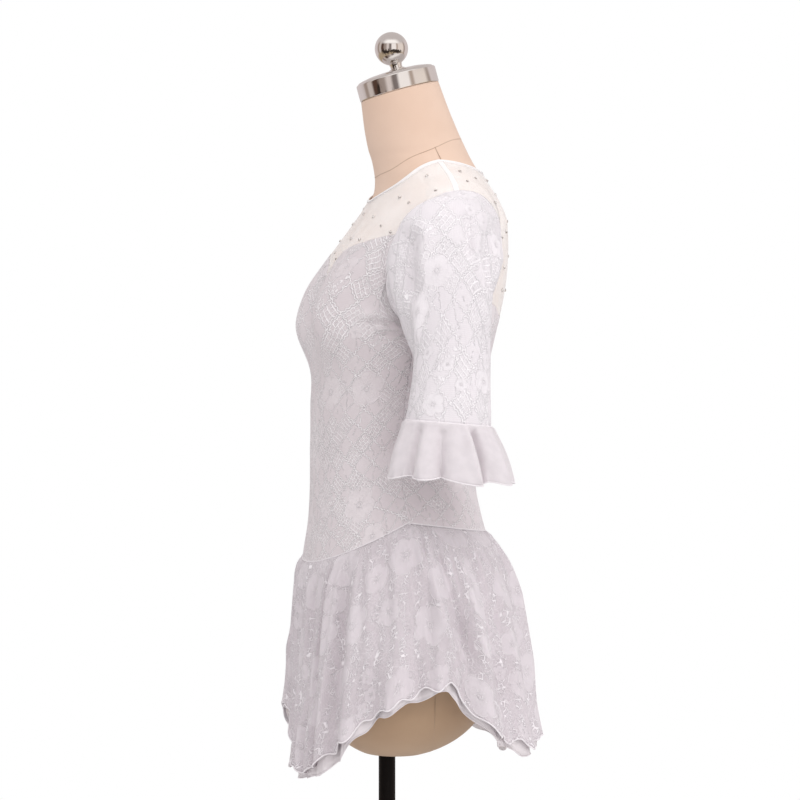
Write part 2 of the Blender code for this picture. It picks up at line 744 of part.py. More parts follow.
def make_cuff_ruffle(name, side):
    """A flounce of plain cloth, gathered to the sleeve's end and waved at its edge."""
    angles = wave_angles(RUFFLE_WAVES, WAVE_COLUMNS)
    last = SLEEVE_SECTIONS[-1]
    grid = []
    for j in range(RUFFLE_RINGS):
        t = j / (RUFFLE_RINGS - 1)
        row = []
        for angle in angles:
            point = sleeve_point(last, angle, 1, 0.0)
            fall = cuff_seam_fall(point)
            back, out = math.cos(math.radians(angle)), math.sin(math.radians(angle))
            wave = cosine_waves(RUFFLE_WAVES, turned(angle, 0.0), 1)
            spread = RUFFLE_SPREAD["back" if back > 0 else "front"] * back * back
            spread += RUFFLE_SPREAD["side"] * out * out
            opening = 1 - (1 - t) ** RUFFLE_OPENING
            reach = spread * opening + (wave - RUFFLE_WAVE_MIDDLE) * t**RUFFLE_WAVE_GROWTH
            point[1] += back * reach
            point[0] += out * reach
            point[2] -= fall + CUFF_SEAM_GAP + (RUFFLE_LENGTH + RUFFLE_EDGE_DIP * wave) * t
            row.append(point)
        grid.append(row)
    outer = np.array(grid)
    inner = outer - grid_normals(outer) * RUFFLE_WALL
    cloth_wall(name, outer * (side, 1, 1), inner * (side, 1, 1), True, "chiffon")


def form_inset(around, height):
    """How far the form lies inside the body's surface: a little under the dress, nothing above."""
    neck = neck_height(around)
    return FORM_INSET * (1 - smooth_step(neck, neck + NECK_EASE, height))


def make_form():
    """The whole torso and neck, smooth and closed, with a rounded underside."""
    sides = FORM_SIDES
    arounds = np.linspace(0, 360, sides, endpoint=False)
    lowest = FORM_RINGS[0][0]
    rings = []
    for share in np.linspace(DOME_FLAT, 1.0, DOME_RINGS, endpoint=False):
        drop = math.sqrt(1 - share * share) / math.sqrt(1 - DOME_FLAT**2)
        ring = np.array([off_body(a, lowest, -FORM_INSET) for a in arounds])
        ring[:, :2] *= share
        ring[:, 2] = lowest - (lowest - FORM_BOTTOM) * drop
        rings.append(ring)
    for height in spaced(*FORM_RINGS):
        rings.append(np.array([off_body(a, height, -form_inset(a, height)) for a in arounds]))
    points = np.concatenate(rings)
    faces = [tuple(range(sides)), tuple(len(points) - sides + i for i in range(sides))]
    for j in range(len(rings) - 1):
        for i in range(sides):
            k = (i + 1) % sides
            faces.append((j * sides + i, j * sides + k, (j + 1) * sides + k, (j + 1) * sides + i))
    add_object("form_body", points, faces, "form_cover")


def turned_solid(name, profile, material_name, steps=32):
    """A solid turned about Z from (radius, height) points that start and end on the axis."""
    points, faces, rings = [], [], []
    for radius, height in profile:
        start = len(points)
        if radius < 1e-6:
            points.append((0.0, 0.0, height))
            rings.append([start])
            continue
        for i in range(steps):
            angle = 2 * math.pi * i / steps
            points.append((radius * math.cos(angle), radius * math.sin(angle), height))
        rings.append(list(range(start, start + steps)))
    for low, high in zip(rings, rings[1:]):
        for i in range(steps):
            corners = [low[i % len(low)], low[(i + 1) % len(low)]]
            corners += [high[(i + 1) % len(high)], high[i % len(high)]]
            faces.append(tuple(dict.fromkeys(corners)))
    return add_object(name, points, faces, material_name)


def place_on_neck(placed, distance, back=0.0):
    """Stands a turned solid on the neck's end, that far above it and behind its middle."""
    neck = dict(zip(BODY_COLUMNS, BODY_SECTIONS[-1]))
    tip = math.atan(neck["slope"])
    placed.rotation_euler = (tip, 0.0, 0.0)
    y = neck["widest"] - math.sin(tip) * distance + math.cos(tip) * back
    z = neck["height"] + math.cos(tip) * distance + math.sin(tip) * back
    placed.location = (0.0, y * MM, z * MM)


def make_neck_cap():
    """The bright metal cap on the neck, with a ball on a short stud."""
    cap = turned_solid("neck_cap", [
        (0.0, 0.0),
        (CAP_RADIUS, 0.0),
        (CAP_RADIUS, CAP_HEIGHT - CAP_EDGE),
        (CAP_RADIUS - 0.5 * CAP_EDGE, CAP_HEIGHT - 0.3 * CAP_EDGE),
        (CAP_RADIUS - 1.6 * CAP_EDGE, CAP_HEIGHT),
        (0.0, CAP_HEIGHT),
    ], "chrome", 40)
    place_on_neck(cap, SEAM_GAP)
    start = math.asin(STUD_RADIUS * BALL_SEAT / BALL_RADIUS)
    middle = STUD_HEIGHT + BALL_RADIUS * math.cos(start)
    waist = STUD_RADIUS * STUD_WAIST
    profile = [(0.0, 0.0), (STUD_RADIUS, 0.0), (STUD_RADIUS, STUD_HEIGHT * 0.35)]
    profile += [(waist, STUD_HEIGHT * 0.5), (waist, STUD_HEIGHT * 0.85)]
    for angle in np.linspace(start, math.pi, 10)[:-1]:
        profile.append((BALL_RADIUS * math.sin(angle), middle - BALL_RADIUS * math.cos(angle)))
    profile.append((0.0, middle + BALL_RADIUS))
    ball = turned_solid("finial_ball", profile, "chrome", 24)
    place_on_neck(ball, CAP_HEIGHT + 2 * SEAM_GAP, BALL_OFFSET)


def make_stand():
    """A round plate, a collar and the pole that carries the form."""
    turned_solid("base_plate", [
        (0.0, 0.0),
        (BASE_RADIUS, 0.0),
        (BASE_RADIUS, BASE_HEIGHT - BASE_EDGE),
        (BASE_RADIUS - 0.4 * BASE_EDGE, BASE_HEIGHT - 0.4 * BASE_EDGE),
        (BASE_RADIUS - 1.5 * BASE_EDGE, BASE_HEIGHT),
        (0.0, BASE_HEIGHT),
    ], "black_metal", 40)
    foot = BASE_HEIGHT + SEAM_GAP
    turned_solid("pole", [
        (0.0, foot),
        (POLE_RADIUS, foot),
        (POLE_RADIUS, FORM_BOTTOM - SEAM_GAP),
        (0.0, FORM_BOTTOM - SEAM_GAP),
    ], "black_metal", 24)
    make_collar(foot)


def make_collar(foot):
    """A ring that stands on the plate about the pole."""
    bore = POLE_RADIUS + COLLAR_CLEARANCE
    section = [
        (bore, 0.0),
        (COLLAR_RADIUS, 0.0),
        (COLLAR_RADIUS, COLLAR_FLANGE),
        (bore + 2 * COLLAR_WALL, COLLAR_SLOPE),
        (bore + COLLAR_WALL, COLLAR_HEIGHT - COLLAR_ROUNDING),
        (bore + COLLAR_WALL - COLLAR_ROUNDING, COLLAR_HEIGHT),
        (bore, COLLAR_HEIGHT),
    ]
    steps = 24
    points, faces = [], []
    for i in range(steps):
        angle = 2 * math.pi * i / steps
        for radius, height in section:
            points.append((radius * math.cos(angle), radius * math.sin(angle), foot + height))
    count = len(section)
    for i in range(steps):
        for j in range(count):
            a, b = i * count, (i + 1) % steps * count
            k = (j + 1) % count
            faces.append((a + j, a + k, b + k, b + j))
    add_object("pole_collar", points, faces, "black_metal")


def main():
    for old in list(bpy.data.objects):
        bpy.data.objects.remove(old)
    make_form()
    make_neck_cap()
    make_stand()
    make_bodice()
    make_yoke()
    make_skirt()
    for side, word in ((1, "left"), (-1, "right")):
        make_sleeve(f"sleeve_{word}", side)
        make_cuff_ruffle(f"cuff_ruffle_{word}", side)


main()
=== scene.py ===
"""Looks of a white lace figure skating dress on a limbless dress form with a round stand.

Lengths are in millimetres until a mesh is made. "around" is the angle about the body: 0 at the centre
front, 90 degrees at the wearer's left side, which is +X, and 180 at the centre back.
"""

import math

import bpy
import numpy as np
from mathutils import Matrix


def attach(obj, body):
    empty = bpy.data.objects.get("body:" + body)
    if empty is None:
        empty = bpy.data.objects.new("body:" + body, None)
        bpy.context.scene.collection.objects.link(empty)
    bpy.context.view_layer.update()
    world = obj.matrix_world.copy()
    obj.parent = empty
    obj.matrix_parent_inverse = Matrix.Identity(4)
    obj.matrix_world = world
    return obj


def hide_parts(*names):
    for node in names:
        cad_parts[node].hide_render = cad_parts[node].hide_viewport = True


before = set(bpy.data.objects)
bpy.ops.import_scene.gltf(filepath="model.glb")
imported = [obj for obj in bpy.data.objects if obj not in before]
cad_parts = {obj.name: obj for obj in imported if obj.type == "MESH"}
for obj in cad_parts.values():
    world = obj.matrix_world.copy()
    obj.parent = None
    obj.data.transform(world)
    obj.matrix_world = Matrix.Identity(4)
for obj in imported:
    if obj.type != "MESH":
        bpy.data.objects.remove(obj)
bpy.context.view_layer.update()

MM = 0.001

# The camera and the room.
CAMERA_AZIMUTH = 79.0
CAMERA_DISTANCE = 3000.0
CAMERA_HEIGHT = 1073.2
CAMERA_SIDE = 15.6
CAMERA_LENS = 112.5
FLOOR_RADIUS = 2400.0

# The body's level sections: the height, half width, front, back and widest place in Y, squareness, and
# the slope that tips a section, front down.
BODY_SECTIONS = np.array([
    (740, 150, -88, 122, 17, 2.15, 0), (790, 161, -95, 131, 16, 2.15, 0),
    (845, 164, -98, 129, 14, 2.15, 0), (885, 157, -96, 121, 12, 2.15, 0),
    (929, 140, -90, 109, 9, 2.15, 0), (965, 124, -88.5, 102, 6, 2.15, 0),
    (1001, 116, -88.5, 101, 6, 2.15, 0), (1037, 117, -88, 103.5, 7, 2.15, 0),
    (1073, 122, -87, 107.5, 9, 2.2, 0), (1109, 130, -81.5, 114.5, 13, 2.3, 0),
    (1145, 137, -76, 121.5, 17, 2.4, 0), (1181, 141, -71, 129.5, 22, 2.5, 0),
    (1217, 145, -67, 134.5, 30, 2.6, 0), (1241, 150, -58, 135.5, 36, 2.6, 0),
    (1265, 158, -45, 135, 42, 2.5, 0), (1289, 167, -30, 133, 46, 2.25, 0),
    (1301, 167, -23, 130, 48, 2, 0), (1313, 157, -17.5, 127, 50, 1.8, 0),
    (1325, 133, -14, 123, 51, 1.65, 0), (1337, 105, -13.5, 117.5, 51, 1.65, 0),
    (1349, 79, -15, 110.5, 49, 1.8, 0), (1361, 65, -17.5, 102.5, 44, 1.95, 0),
    (1378, 58, -21.5, 91.5, 35, 2, 0.09), (1404, 53, -26, 78, 26, 2, 0.19),
    (1443, 48.5, -30.7, 61.9, 15.6, 2, 0.277),
], float)
BUST_APART = 74.0
BUST_HEIGHT = 1168.0
BUST_DEPTH = 32.0
BUST_HALF_WIDTH = 38.0
BUST_RISE = 45.0
BUST_FALL = 34.0
FORM_LOWEST = 740.0
FORM_BOTTOM = 652.0
FORM_FINER = 1280.0
FORM_COLUMNS = 144
FORM_ROWS = {"underside": 26, "torso": 90, "neck": 60}
DOME_FLAT = 0.34
NECK_END = 1443.0

# The cloth's clearances off the body, to its outer face, its walls, the gap between the lace and the mesh,
# and a panel's border rows as a share of its height.
FORM_INSET = 1.0
MESH_OFF = 2.4
BODICE_OFF = 2.7
LACE_OFF = 4.6
LINING_OFF = 2.0
CLOTH_WALL = 0.7
CLOTH_THIN = 0.6
CLOTH_FINE = 0.5
EDGE_GAP = 0.2
BORDER = 0.0012
DEEPEST_TROUGH = -1.5
SIDE_SEAM_OFF = 2.45
HIP_SEAM_OFF = 2.5
# Half the gap between two panels, in degrees.
BODICE_APART = 0.05
YOKE_APART = 0.2
# The shoulder tape's half width, and how far the shoulder is from the body's middle.
TAPE_HALF = 3.0
SHOULDER_OUT = 65.0
# The neck binding's section: how high over the neckline and how far off the body.
BINDING = ((0.4, 1.6), (0.5, 2.6), (1.4, 3.0), (2.2, 3.05), (3.0, 3.0), (3.9, 2.6), (4.0, 1.6))

# Edges of the bodice's panels.
SIDE_SEAM = 84.0
SHOULDER_SEAM = 90.0
ARMHOLE_FRONT = 62.0
ARMHOLE_BACK = 130.0
ARMHOLE_TOP = 1306.0
ARMHOLE_MIDDLE = 1235.0
ARMHOLE_BOTTOM = 1150.0
ARMHOLE_POWER = {"upper": 2.6, "lower": 2.0}
SWEETHEART_LOW = 1217.0
SWEETHEART_RISE = 40.0
SWEETHEART_SPREAD = 14.0
SWEETHEART_LIFT = 7.0
LEVEL_ROWS = 1146.0
BACK_LACE_TOP = 1173.0
BACK_LACE_RISE = 14.0
NECK_FRONT = 1308.0
NECK_SIDE = 1350.0
NECK_BACK = 1342.0
HIP_SEAM_SIDE = 932.0
HIP_SEAM_SIDE_Y = -1.5
HIP_SEAM_FRONT_FALL = 0.53
HIP_SEAM_BACK_FALL = 0.127

# The skirt's folds: each ridge's angle about the body, its depth at the hem and how far it hangs.
SKIRT_FOLDS = np.array([
    (-167, 16, 3), (-146, 14, 0), (-126, 17, 4), (-110, 13, 1), (-94, 15, 5), (-74, 17, 0),
    (-52, 13, 3), (-34, 11, 2), (-19, 8, 0), (-8, 9, 2), (3, 6, 0), (12, 6, 2), (21, 9, 0), (30, 8, 3),
    (40, 12, 0), (55, 15, 4), (74, 16, 2), (94, 15, 5), (113, 17, 0), (134, 14, 4), (154, 11, 0),
    (174, 11, 3),
], float)
FOLD_FULL_DROP = 200.0
FOLD_GROWTH = 0.8
FOLD_MIDDLE = 10.5
FOLD_FULLER = 1.1
PLEAT_DEEPER = 1.45
# The least that the skirt stands off the body, by its folds and in its deepest creases.
FOLD_STAND = 2.0
CREASE_STAND = 0.35
GATHER_DEPTH = 0.75
GATHER_DROP = 45.0

# The hem lines: angle about the body, the lace's height, and how far the lining hangs below it.
HEM_LINES = np.array([
    (-180, 683, 10), (-168, 669, 9), (-160, 652, 8), (-153, 645, 8), (-146, 655, 9), (-137, 674, 9),
    (-125, 704, 9), (-112, 734, 9), (-98, 747, 9), (-87, 718, 9), (-80, 655, 8), (-75, 626, 8),
    (-67, 614, 8), (-56, 615, 8), (-46, 632, 8), (-40, 670, 9), (-33, 702, 9), (-14, 706, 9),
    (-4, 703, 9), (3, 682, 8), (9, 656, 8), (16, 646, 8), (26, 643, 9), (36, 653, 13), (47, 672, 19),
    (57, 697, 14), (67, 720, 9), (84, 744, 10), (99, 753, 12), (108, 716, 9), (115, 697, 9),
    (124, 686, 12), (134, 680, 15), (145, 678, 10), (160, 678, 9), (180, 683, 10),
], float)
SKIRT_PUFF = {"front": 1.6, "side": 6.0, "back": 5.0}
SKIRT_FLARE = {"front": 0.092, "side": 0.165, "back": 0.162}
PUFF_DROP = 12.0
LAYER_SPREAD = 1.2
LAYER_FLARE = 0.008
FULLEST_HIP = 845.0

# The left sleeve's sections: outer X and height, inner X and height, front Y and back Y.
SLEEVE_SECTIONS = np.array([
    (188, 1303, 146, 1152, -30, 101), (203, 1286, 151, 1141, -28.5, 95),
    (213, 1256, 154, 1126, -23, 85), (218, 1221, 156, 1108, -13, 82.5),
    (220, 1182, 157, 1093, -5.5, 83), (220, 1142, 157, 1078, -5.5, 83), (220, 1100, 156, 1064, -9, 83),
    (221, 1050, 154, 1050, -14, 84),
], float)
SLEEVE_END = len(SLEEVE_SECTIONS)
SLEEVE_SQUARENESS = 2.15
SLEEVE_HEAD_OFF = 4.8
# How far the sleeve's head reaches past the armhole's edge, in degrees across and in height.
HEAD_PAST_ACROSS = 1.2
HEAD_PAST_UP = 3.0
CUFF_SEAM_FALL = 0.08
CUFF_SEAM_Y = -14.0
RUFFLE_WAVES = np.array([
    (38, 12), (86, 10), (122, 9), (165, 10), (204, 8), (240, 9), (276, 8), (314, 10), (354, 8),
], float)
RUFFLE_LENGTH = 60.0
RUFFLE_SPREAD = {"front": 15.0, "back": 22.0, "side": 12.0}
RUFFLE_OPENING = 1.7
RUFFLE_WAVE_MIDDLE = 4.0
RUFFLE_WAVE_GROWTH = 0.8
RUFFLE_EDGE_DIP = 0.4
RUFFLE_SEAM_DROP = 0.4
HEADING_STAND = 2.4
HEADING_RISE = 1.8
SLEEVE_ROWS = 90
SLEEVE_COLUMNS = 144
CUFF_ROWS = 36
CUFF_COLUMNS = 240

# The lace: its lattice, and its flowers in shares of their own radius.
LATTICE = 27.0
LATTICE_SWAY = 8.0
CORD_HALF = 0.9
HATCHES = 4.0
ZIGZAGS = 3.5
ZIGZAG_DEPTH = 0.035
CHAIN_APART = 19.0
PETALS = 5
PETAL_NOTCH = 0.68
PETAL_RISE = 0.28
PETAL_POWER = 0.6
EYE_RADIUS = 0.13
FLOWER_CORD = 0.34
FLOWER_REACH = 1.35
NO_FLOWER = 9.0
MESH_STEP = 1.6
WEAVE_STEP = 0.9
# How many flowers of each radius lie on a panel.
FLOWER_SIZES = {
    "bodice": ((22.0, 10), (16.0, 9), (8.5, 6)),
    "skirt": ((24.0, 48), (17.0, 40), (9.0, 40)),
    "sleeve": ((19.0, 7), (14.0, 7), (8.0, 5)),
}

# The neck's metalwork and the stand.
CAP_RADIUS = 48.8
CAP_HEIGHT = 20.0
CAP_DOME = 5.4
BALL_RADIUS = 20.0
BALL_OFFSET = 4.0
STUD_RADIUS = 9.8
STUD_HEIGHT = 13.4
# How far the cap and the stud sit up from the neck's end.
CAP_SEAT = 0.4
STUD_SEAT = 20.8
POLE_RADIUS = 10.0
BASE_RADIUS = 160.0
BASE_HEIGHT = 8.0
COLLAR_RADIUS = 32.0
COLLAR_HEIGHT = 24.0


def smooth_rows(table, keys):
    """Every column of a table at keys between its rows, on smooth curves through the rows."""
    keys = np.asarray(keys, float)
    knots = table[:, 0]
    slopes = np.gradient(table, knots, axis=0)
    i = np.clip(np.searchsorted(knots, keys) - 1, 0, len(knots) - 2)
    span = (knots[i + 1] - knots[i])[..., None]
    t = (keys - knots[i])[..., None] / span
    start = (1 + 2 * t) * (1 - t) ** 2 * table[i] + t * (1 - t) ** 2 * span * slopes[i]
    end = t * t * (3 - 2 * t) * table[i + 1] + t * t * (t - 1) * span * slopes[i + 1]
    return start + end


def smooth_step(low, high, value):
    t = np.clip((value - low) / (high - low), 0.0, 1.0)
    return t * t * (3 - 2 * t)


def turned(angle, low=-180.0):
    """The same direction as an angle in the full turn that starts at low."""
    return np.mod(np.asarray(angle, float) - low, 360) + low


def unit(vectors):
    return vectors / np.maximum(np.linalg.norm(vectors, axis=-1, keepdims=True), 1e-9)


def squared_circle(angle, squareness):
    c, s = np.cos(np.radians(angle)), np.sin(np.radians(angle))
    reach = (np.abs(c) ** squareness + np.abs(s) ** squareness) ** (-1 / squareness)
    return c * reach, s * reach


def body(around, height):
    """Points of the body's surface."""
    around, height = np.broadcast_arrays(np.asarray(around, float), np.asarray(height, float))
    columns = np.moveaxis(smooth_rows(BODY_SECTIONS, height), -1, 0)
    _, half_width, front, back, widest, squareness, slope = columns
    forward, side = squared_circle(around, squareness)
    x = half_width * side
    y = widest - np.where(forward > 0, widest - front, back - widest) * forward
    spread = np.where(height > BUST_HEIGHT, BUST_RISE, BUST_FALL)
    level = np.exp(-0.5 * ((height - BUST_HEIGHT) / spread) ** 2)
    sides = sum(np.exp(-0.5 * ((x - s * BUST_APART) / BUST_HALF_WIDTH) ** 2) for s in (-1, 1))
    y = y - BUST_DEPTH * level * sides * smooth_step(0.0, 0.5, forward)
    return np.stack((x, y, height + slope * (y - widest)), -1)


def body_normals(around, height):
    turn = body(around + 0.5, height) - body(around - 0.5, height)
    rise = body(around, height + 1.0) - body(around, height - 1.0)
    return unit(np.cross(turn, rise))


def off_body(around, height, distance):
    distance = np.asarray(distance, float)[..., None]
    return body(around, height) + distance * body_normals(around, height)


def armhole_height(around, edge):
    middle = (ARMHOLE_FRONT + ARMHOLE_BACK) / 2
    share = np.minimum(np.abs(np.abs(turned(around)) - middle) / (ARMHOLE_BACK - middle), 1.0)
    rise = (1 - share ** ARMHOLE_POWER[edge]) ** (1 / ARMHOLE_POWER[edge])
    end = ARMHOLE_TOP if edge == "upper" else ARMHOLE_BOTTOM
    return ARMHOLE_MIDDLE + (end - ARMHOLE_MIDDLE) * rise


def neck_height(around):
    around = np.abs(turned(around))
    share = np.minimum(around / SHOULDER_SEAM, 1.0)
    share = 0.5 * (0.5 - 0.5 * np.cos(np.pi * share)) + 0.5 * share
    front = NECK_FRONT + (NECK_SIDE - NECK_FRONT) * share
    back = NECK_SIDE + (NECK_BACK - NECK_SIDE) * smooth_step(SHOULDER_SEAM, 160, around)
    return np.where(around <= SHOULDER_SEAM, front, back)


def sweetheart_height(around):
    around = np.abs(around)
    curve = SWEETHEART_LOW + SWEETHEART_RISE * (1 - np.exp(-around / SWEETHEART_SPREAD))
    return curve + SWEETHEART_LIFT * smooth_step(25.0, ARMHOLE_FRONT, around)


def back_lace_height(around):
    share = (180 - np.abs(turned(around))) / (180 - ARMHOLE_BACK)
    return BACK_LACE_TOP + BACK_LACE_RISE * smooth_step(0.6, 1.0, share)


def hip_seam_height(around):
    height = np.full(np.shape(around), HIP_SEAM_SIDE)
    for _ in range(6):
        away = body(around, height)[..., 1] - HIP_SEAM_SIDE_Y
        height = HIP_SEAM_SIDE - np.abs(away) * np.where(away < 0, HIP_SEAM_FRONT_FALL, HIP_SEAM_BACK_FALL)
    return height


def cosine_waves(table, angle, column):
    """A smooth value that peaks at each row's angle and sinks to nothing midway to the next row."""
    angles = table[:, 0]
    i = np.searchsorted(angles, angle, side="right") - 1
    j = (i + 1) % len(angles)
    start = np.where(i >= 0, angles[i], angles[i] - 360)
    end = np.where(angles[j] > start, angles[j], angles[j] + 360)
    share = (angle - start) / (end - start)
    height = table[i, column] * (1 - share) + table[j, column] * share
    return height * (0.5 + 0.5 * np.cos(2 * np.pi * share))


def by_side(values, around):
    forward = np.cos(np.radians(around))
    end = np.where(forward > 0, values["front"], values["back"])
    return values["side"] + (end - values["side"]) * forward * forward


# The radius at which each cloth's creases are laid out.
BODICE_ROUND = 125.0
SKIRT_ROUND = 190.0
SLEEVE_ROUND = 42.0
CUFF_ROUND = 48.0
# Creases pressed into the cloth. A row runs from one place to another: its angle and height at both
# ends, its half width, and its depth, which is a trough where it is negative. On the cuff, heights are
# shares of its length.
BODICE_CREASES = np.array([
    (52, 1172, 74, 1164, 3.6, 3.4), (58, 1164, 78, 1157, 3.4, -3), (62, 1157, 80, 1150, 3.4, 2.8),
    (62, 1148, 82, 1143, 4.5, -2.4), (70, 1136, 96, 1140, 6, -1.6), (58, 1010, 92, 1004, 7, -0.9),
    (84, 988, 124, 996, 8, -1), (40, 985, 70, 976, 7, 0.8), (100, 1026, 146, 1034, 9, -0.9),
    (8, 1000, 44, 1016, 8, -0.7), (-56, 1168, -76, 1162, 4.5, -2), (-64, 1156, -82, 1152, 4, 1.4),
    (-66, 1148, -86, 1144, 5, -1.6), (-60, 1005, -94, 1010, 8, -0.9), (-82, 984, -120, 992, 8, -1),
    (-30, 990, -64, 978, 7, 0.7), (150, 1010, 176, 1004, 9, -0.8), (-150, 1016, -174, 1008, 9, -0.8),
], float)
SKIRT_CREASES = np.array([
    (-14, 868, -14, 780, 40, -2.6), (-50, 760, -50, 560, 16, -4), (-24, 888, -27, 700, 4, -4),
    (24, 886, 21, 700, 4, -4.2), (37, 892, 30, 700, 3.6, -4.4), (45, 898, 41, 690, 4, 3.4),
    (90, 922, 90, 780, 4, -3), (31, 890, 26, 760, 5, -2.6), (41, 886, 34, 700, 5.5, 4.2),
    (49, 890, 46, 700, 6, -3.6), (56, 900, 55, 780, 5, 2.4), (62, 908, 63, 740, 6, 4.2),
    (70, 912, 73, 760, 7, -4), (80, 920, 84, 800, 5, 2.2), (85, 924, 104, 750, 6.5, 5),
    (96, 920, 109, 760, 5, -4.6), (106, 919, 114, 745, 5.5, 4.6), (116, 916, 124, 720, 7, -4.6),
    (126, 914, 132, 740, 6, 3), (138, 910, 142, 720, 7, -3.2), (20, 884, 16, 720, 5, 3),
    (11, 880, 8, 740, 5, -2.6), (2, 878, 0, 730, 5, 2.8), (152, 910, 154, 730, 6, 3.6),
    (163, 910, 166, 740, 7, -3.6), (176, 908, 178, 720, 6, 3.2), (-166, 908, -172, 720, 7, -3.4),
    (-152, 912, -156, 700, 6, 3.8), (-138, 912, -132, 730, 7, -3.6), (-122, 914, -124, 760, 6, 3.4),
    (-108, 918, -112, 770, 7, -3.8), (-92, 920, -96, 770, 6, 3.6), (-82, 914, -76, 740, 7, -4),
    (-68, 910, -70, 700, 6, 4.2), (-56, 904, -54, 720, 6, -3.6), (-44, 894, -42, 720, 6, 3.4),
    (-32, 888, -30, 760, 6, -3), (-18, 882, -16, 740, 5, 3), (-9, 880, -9, 760, 5, -2.4),
], float)
SLEEVE_CREASES = np.array([
    (116, 1272, 134, 1212, 4.6, 7), (131, 1224, 164, 1132, 5, 6.5), (133, 1266, 154, 1180, 7.5, -10),
    (56, 1268, 44, 1190, 4.6, 6.5), (45, 1200, 34, 1150, 5, 4), (42, 1276, 26, 1196, 8, -8),
    (68, 1288, 60, 1232, 5, -7.5), (82, 1290, 88, 1244, 9, 2.2), (104, 1278, 104, 1228, 7, -1.8),
    (10, 1276, 6, 1150, 7, 3), (178, 1280, 186, 1150, 8, 3), (206, 1270, 214, 1150, 9, -3),
    (340, 1240, 330, 1120, 9, -3), (120, 1122, 150, 1066, 8, -1.6), (92, 1110, 84, 1060, 9, 1.2),
    (58, 1120, 50, 1062, 8, -1.6), (280, 1110, 262, 1070, 9, -2.4),
], float)
CUFF_CREASES = np.array([
    (137, 1.1, 136, -0.1, 4, -6), (104, 1.1, 106, 0, 4.5, -6), (66, 1.1, 68, -0.1, 3.2, -11),
    (76, 1.1, 78, -0.1, 3.8, 6.5), (96, 1.1, 98, 0.2, 4, 2.5), (128, 1.1, 127, 0.1, 4, 3),
    (54, 0.7, 52, 0.1, 6, 2), (22, 1.1, 26, 0.2, 4, -4), (186, 1.1, 184, 0.2, 4, -4),
    (222, 1.1, 223, 0.1, 4, -4.6), (258, 1.1, 256, 0.1, 4, -4), (296, 1.1, 297, 0.1, 4, -4.6),
    (334, 1.1, 332, 0.1, 4, -4.2),
], float)
# How far a lean turns the cloth round and how much of it shifts the cloth.
LEAN_ROUND = 50.0
LEAN_SHIFT = 0.35
# Where the cuff's cloth laps over its neighbour: angle, half width, lean and sag.
CUFF_LEANS = (
    (75.0, 8.0, -19.0, 3.0),
    (97.0, 7.0, 9.0, 0.0),
    (130.0, 8.0, 7.0, 0.0),
    (65.0, 5.0, 0.0, 4.0),
    (214.0, 9.0, 6.0, 0.0),
    (286.0, 9.0, -7.0, 1.0),
    (345.0, 8.0, 5.0, 0.0),
)


def creases(table, angle, height, radius, unit_height=1.0):
    """The sum of a table's creases, each with round flanks and soft ends."""
    total = np.zeros(np.broadcast(angle, height).shape)
    for start, top, end, low, half_width, depth in table:
        along_x = (end - start) * radius * math.pi / 180
        top, low = top * unit_height, low * unit_height
        along_z = low - top
        length = math.hypot(along_x, along_z)
        x = turned(angle - start) * radius * math.pi / 180
        z = height - top
        t = (x * along_x + z * along_z) / length**2
        away = (x * along_z - z * along_x) / length / half_width
        ends = smooth_step(-0.08, 0.2, t) * smooth_step(1.1, 0.75, t)
        total += depth * np.exp(-0.5 * away**2) * ends
    return total


def gathers(around, drop):
    """Small gathers just below the hip seam, uneven and soon gone."""
    a = np.radians(around)
    waves = np.sin(31 * a + 1.3 * np.sin(5 * a)) + 0.7 * np.sin(47 * a + 2.0 * np.sin(3 * a + 1.0))
    waves = waves + 0.5 * np.sin(67 * a + 1.7 * np.sin(7 * a + 2.0))
    fade = 0.25 + 0.75 * np.exp(-drop / GATHER_DROP)
    return GATHER_DEPTH * waves * fade * smooth_step(0.0, 6.0, drop)


SKIRT_COLUMNS = 640
HEM_RIPPLE = 1.7
HEM_RISE = 1.5
HEM_SCALLOP = 3.0
HEM_RIPPLE_DROP = 30.0
# The skirt's two layers. hem is the radius and finish of the rolled edge.
LINING = {
    "name": "chiffon_underskirt",
    "node": "skirt_lining",
    "slot": "chiffon",
    "finish": "lining",
    "flowers": (),
    "hem": (0.6, "lining"),
    "rows": 40,
    "off": LINING_OFF,
    "spread": LAYER_SPREAD,
    "flare": LAYER_FLARE,
    "folds": 0.88,
    "below": 0.8,
    "ripples": 61,
    "seam_off": LINING_OFF,
}
LACE = {
    "name": "lace_skirt",
    "node": "skirt_lace",
    "slot": "white_lace",
    "finish": "skirt",
    "flowers": FLOWER_SIZES["skirt"],
    "hem": (0.9, "thread"),
    "rows": 64,
    "off": LACE_OFF,
    "spread": 0.0,
    "flare": 0.0,
    "folds": 1.0,
    "below": 0.0,
    "ripples": 83,
    "seam_off": BODICE_OFF + 0.2,
}


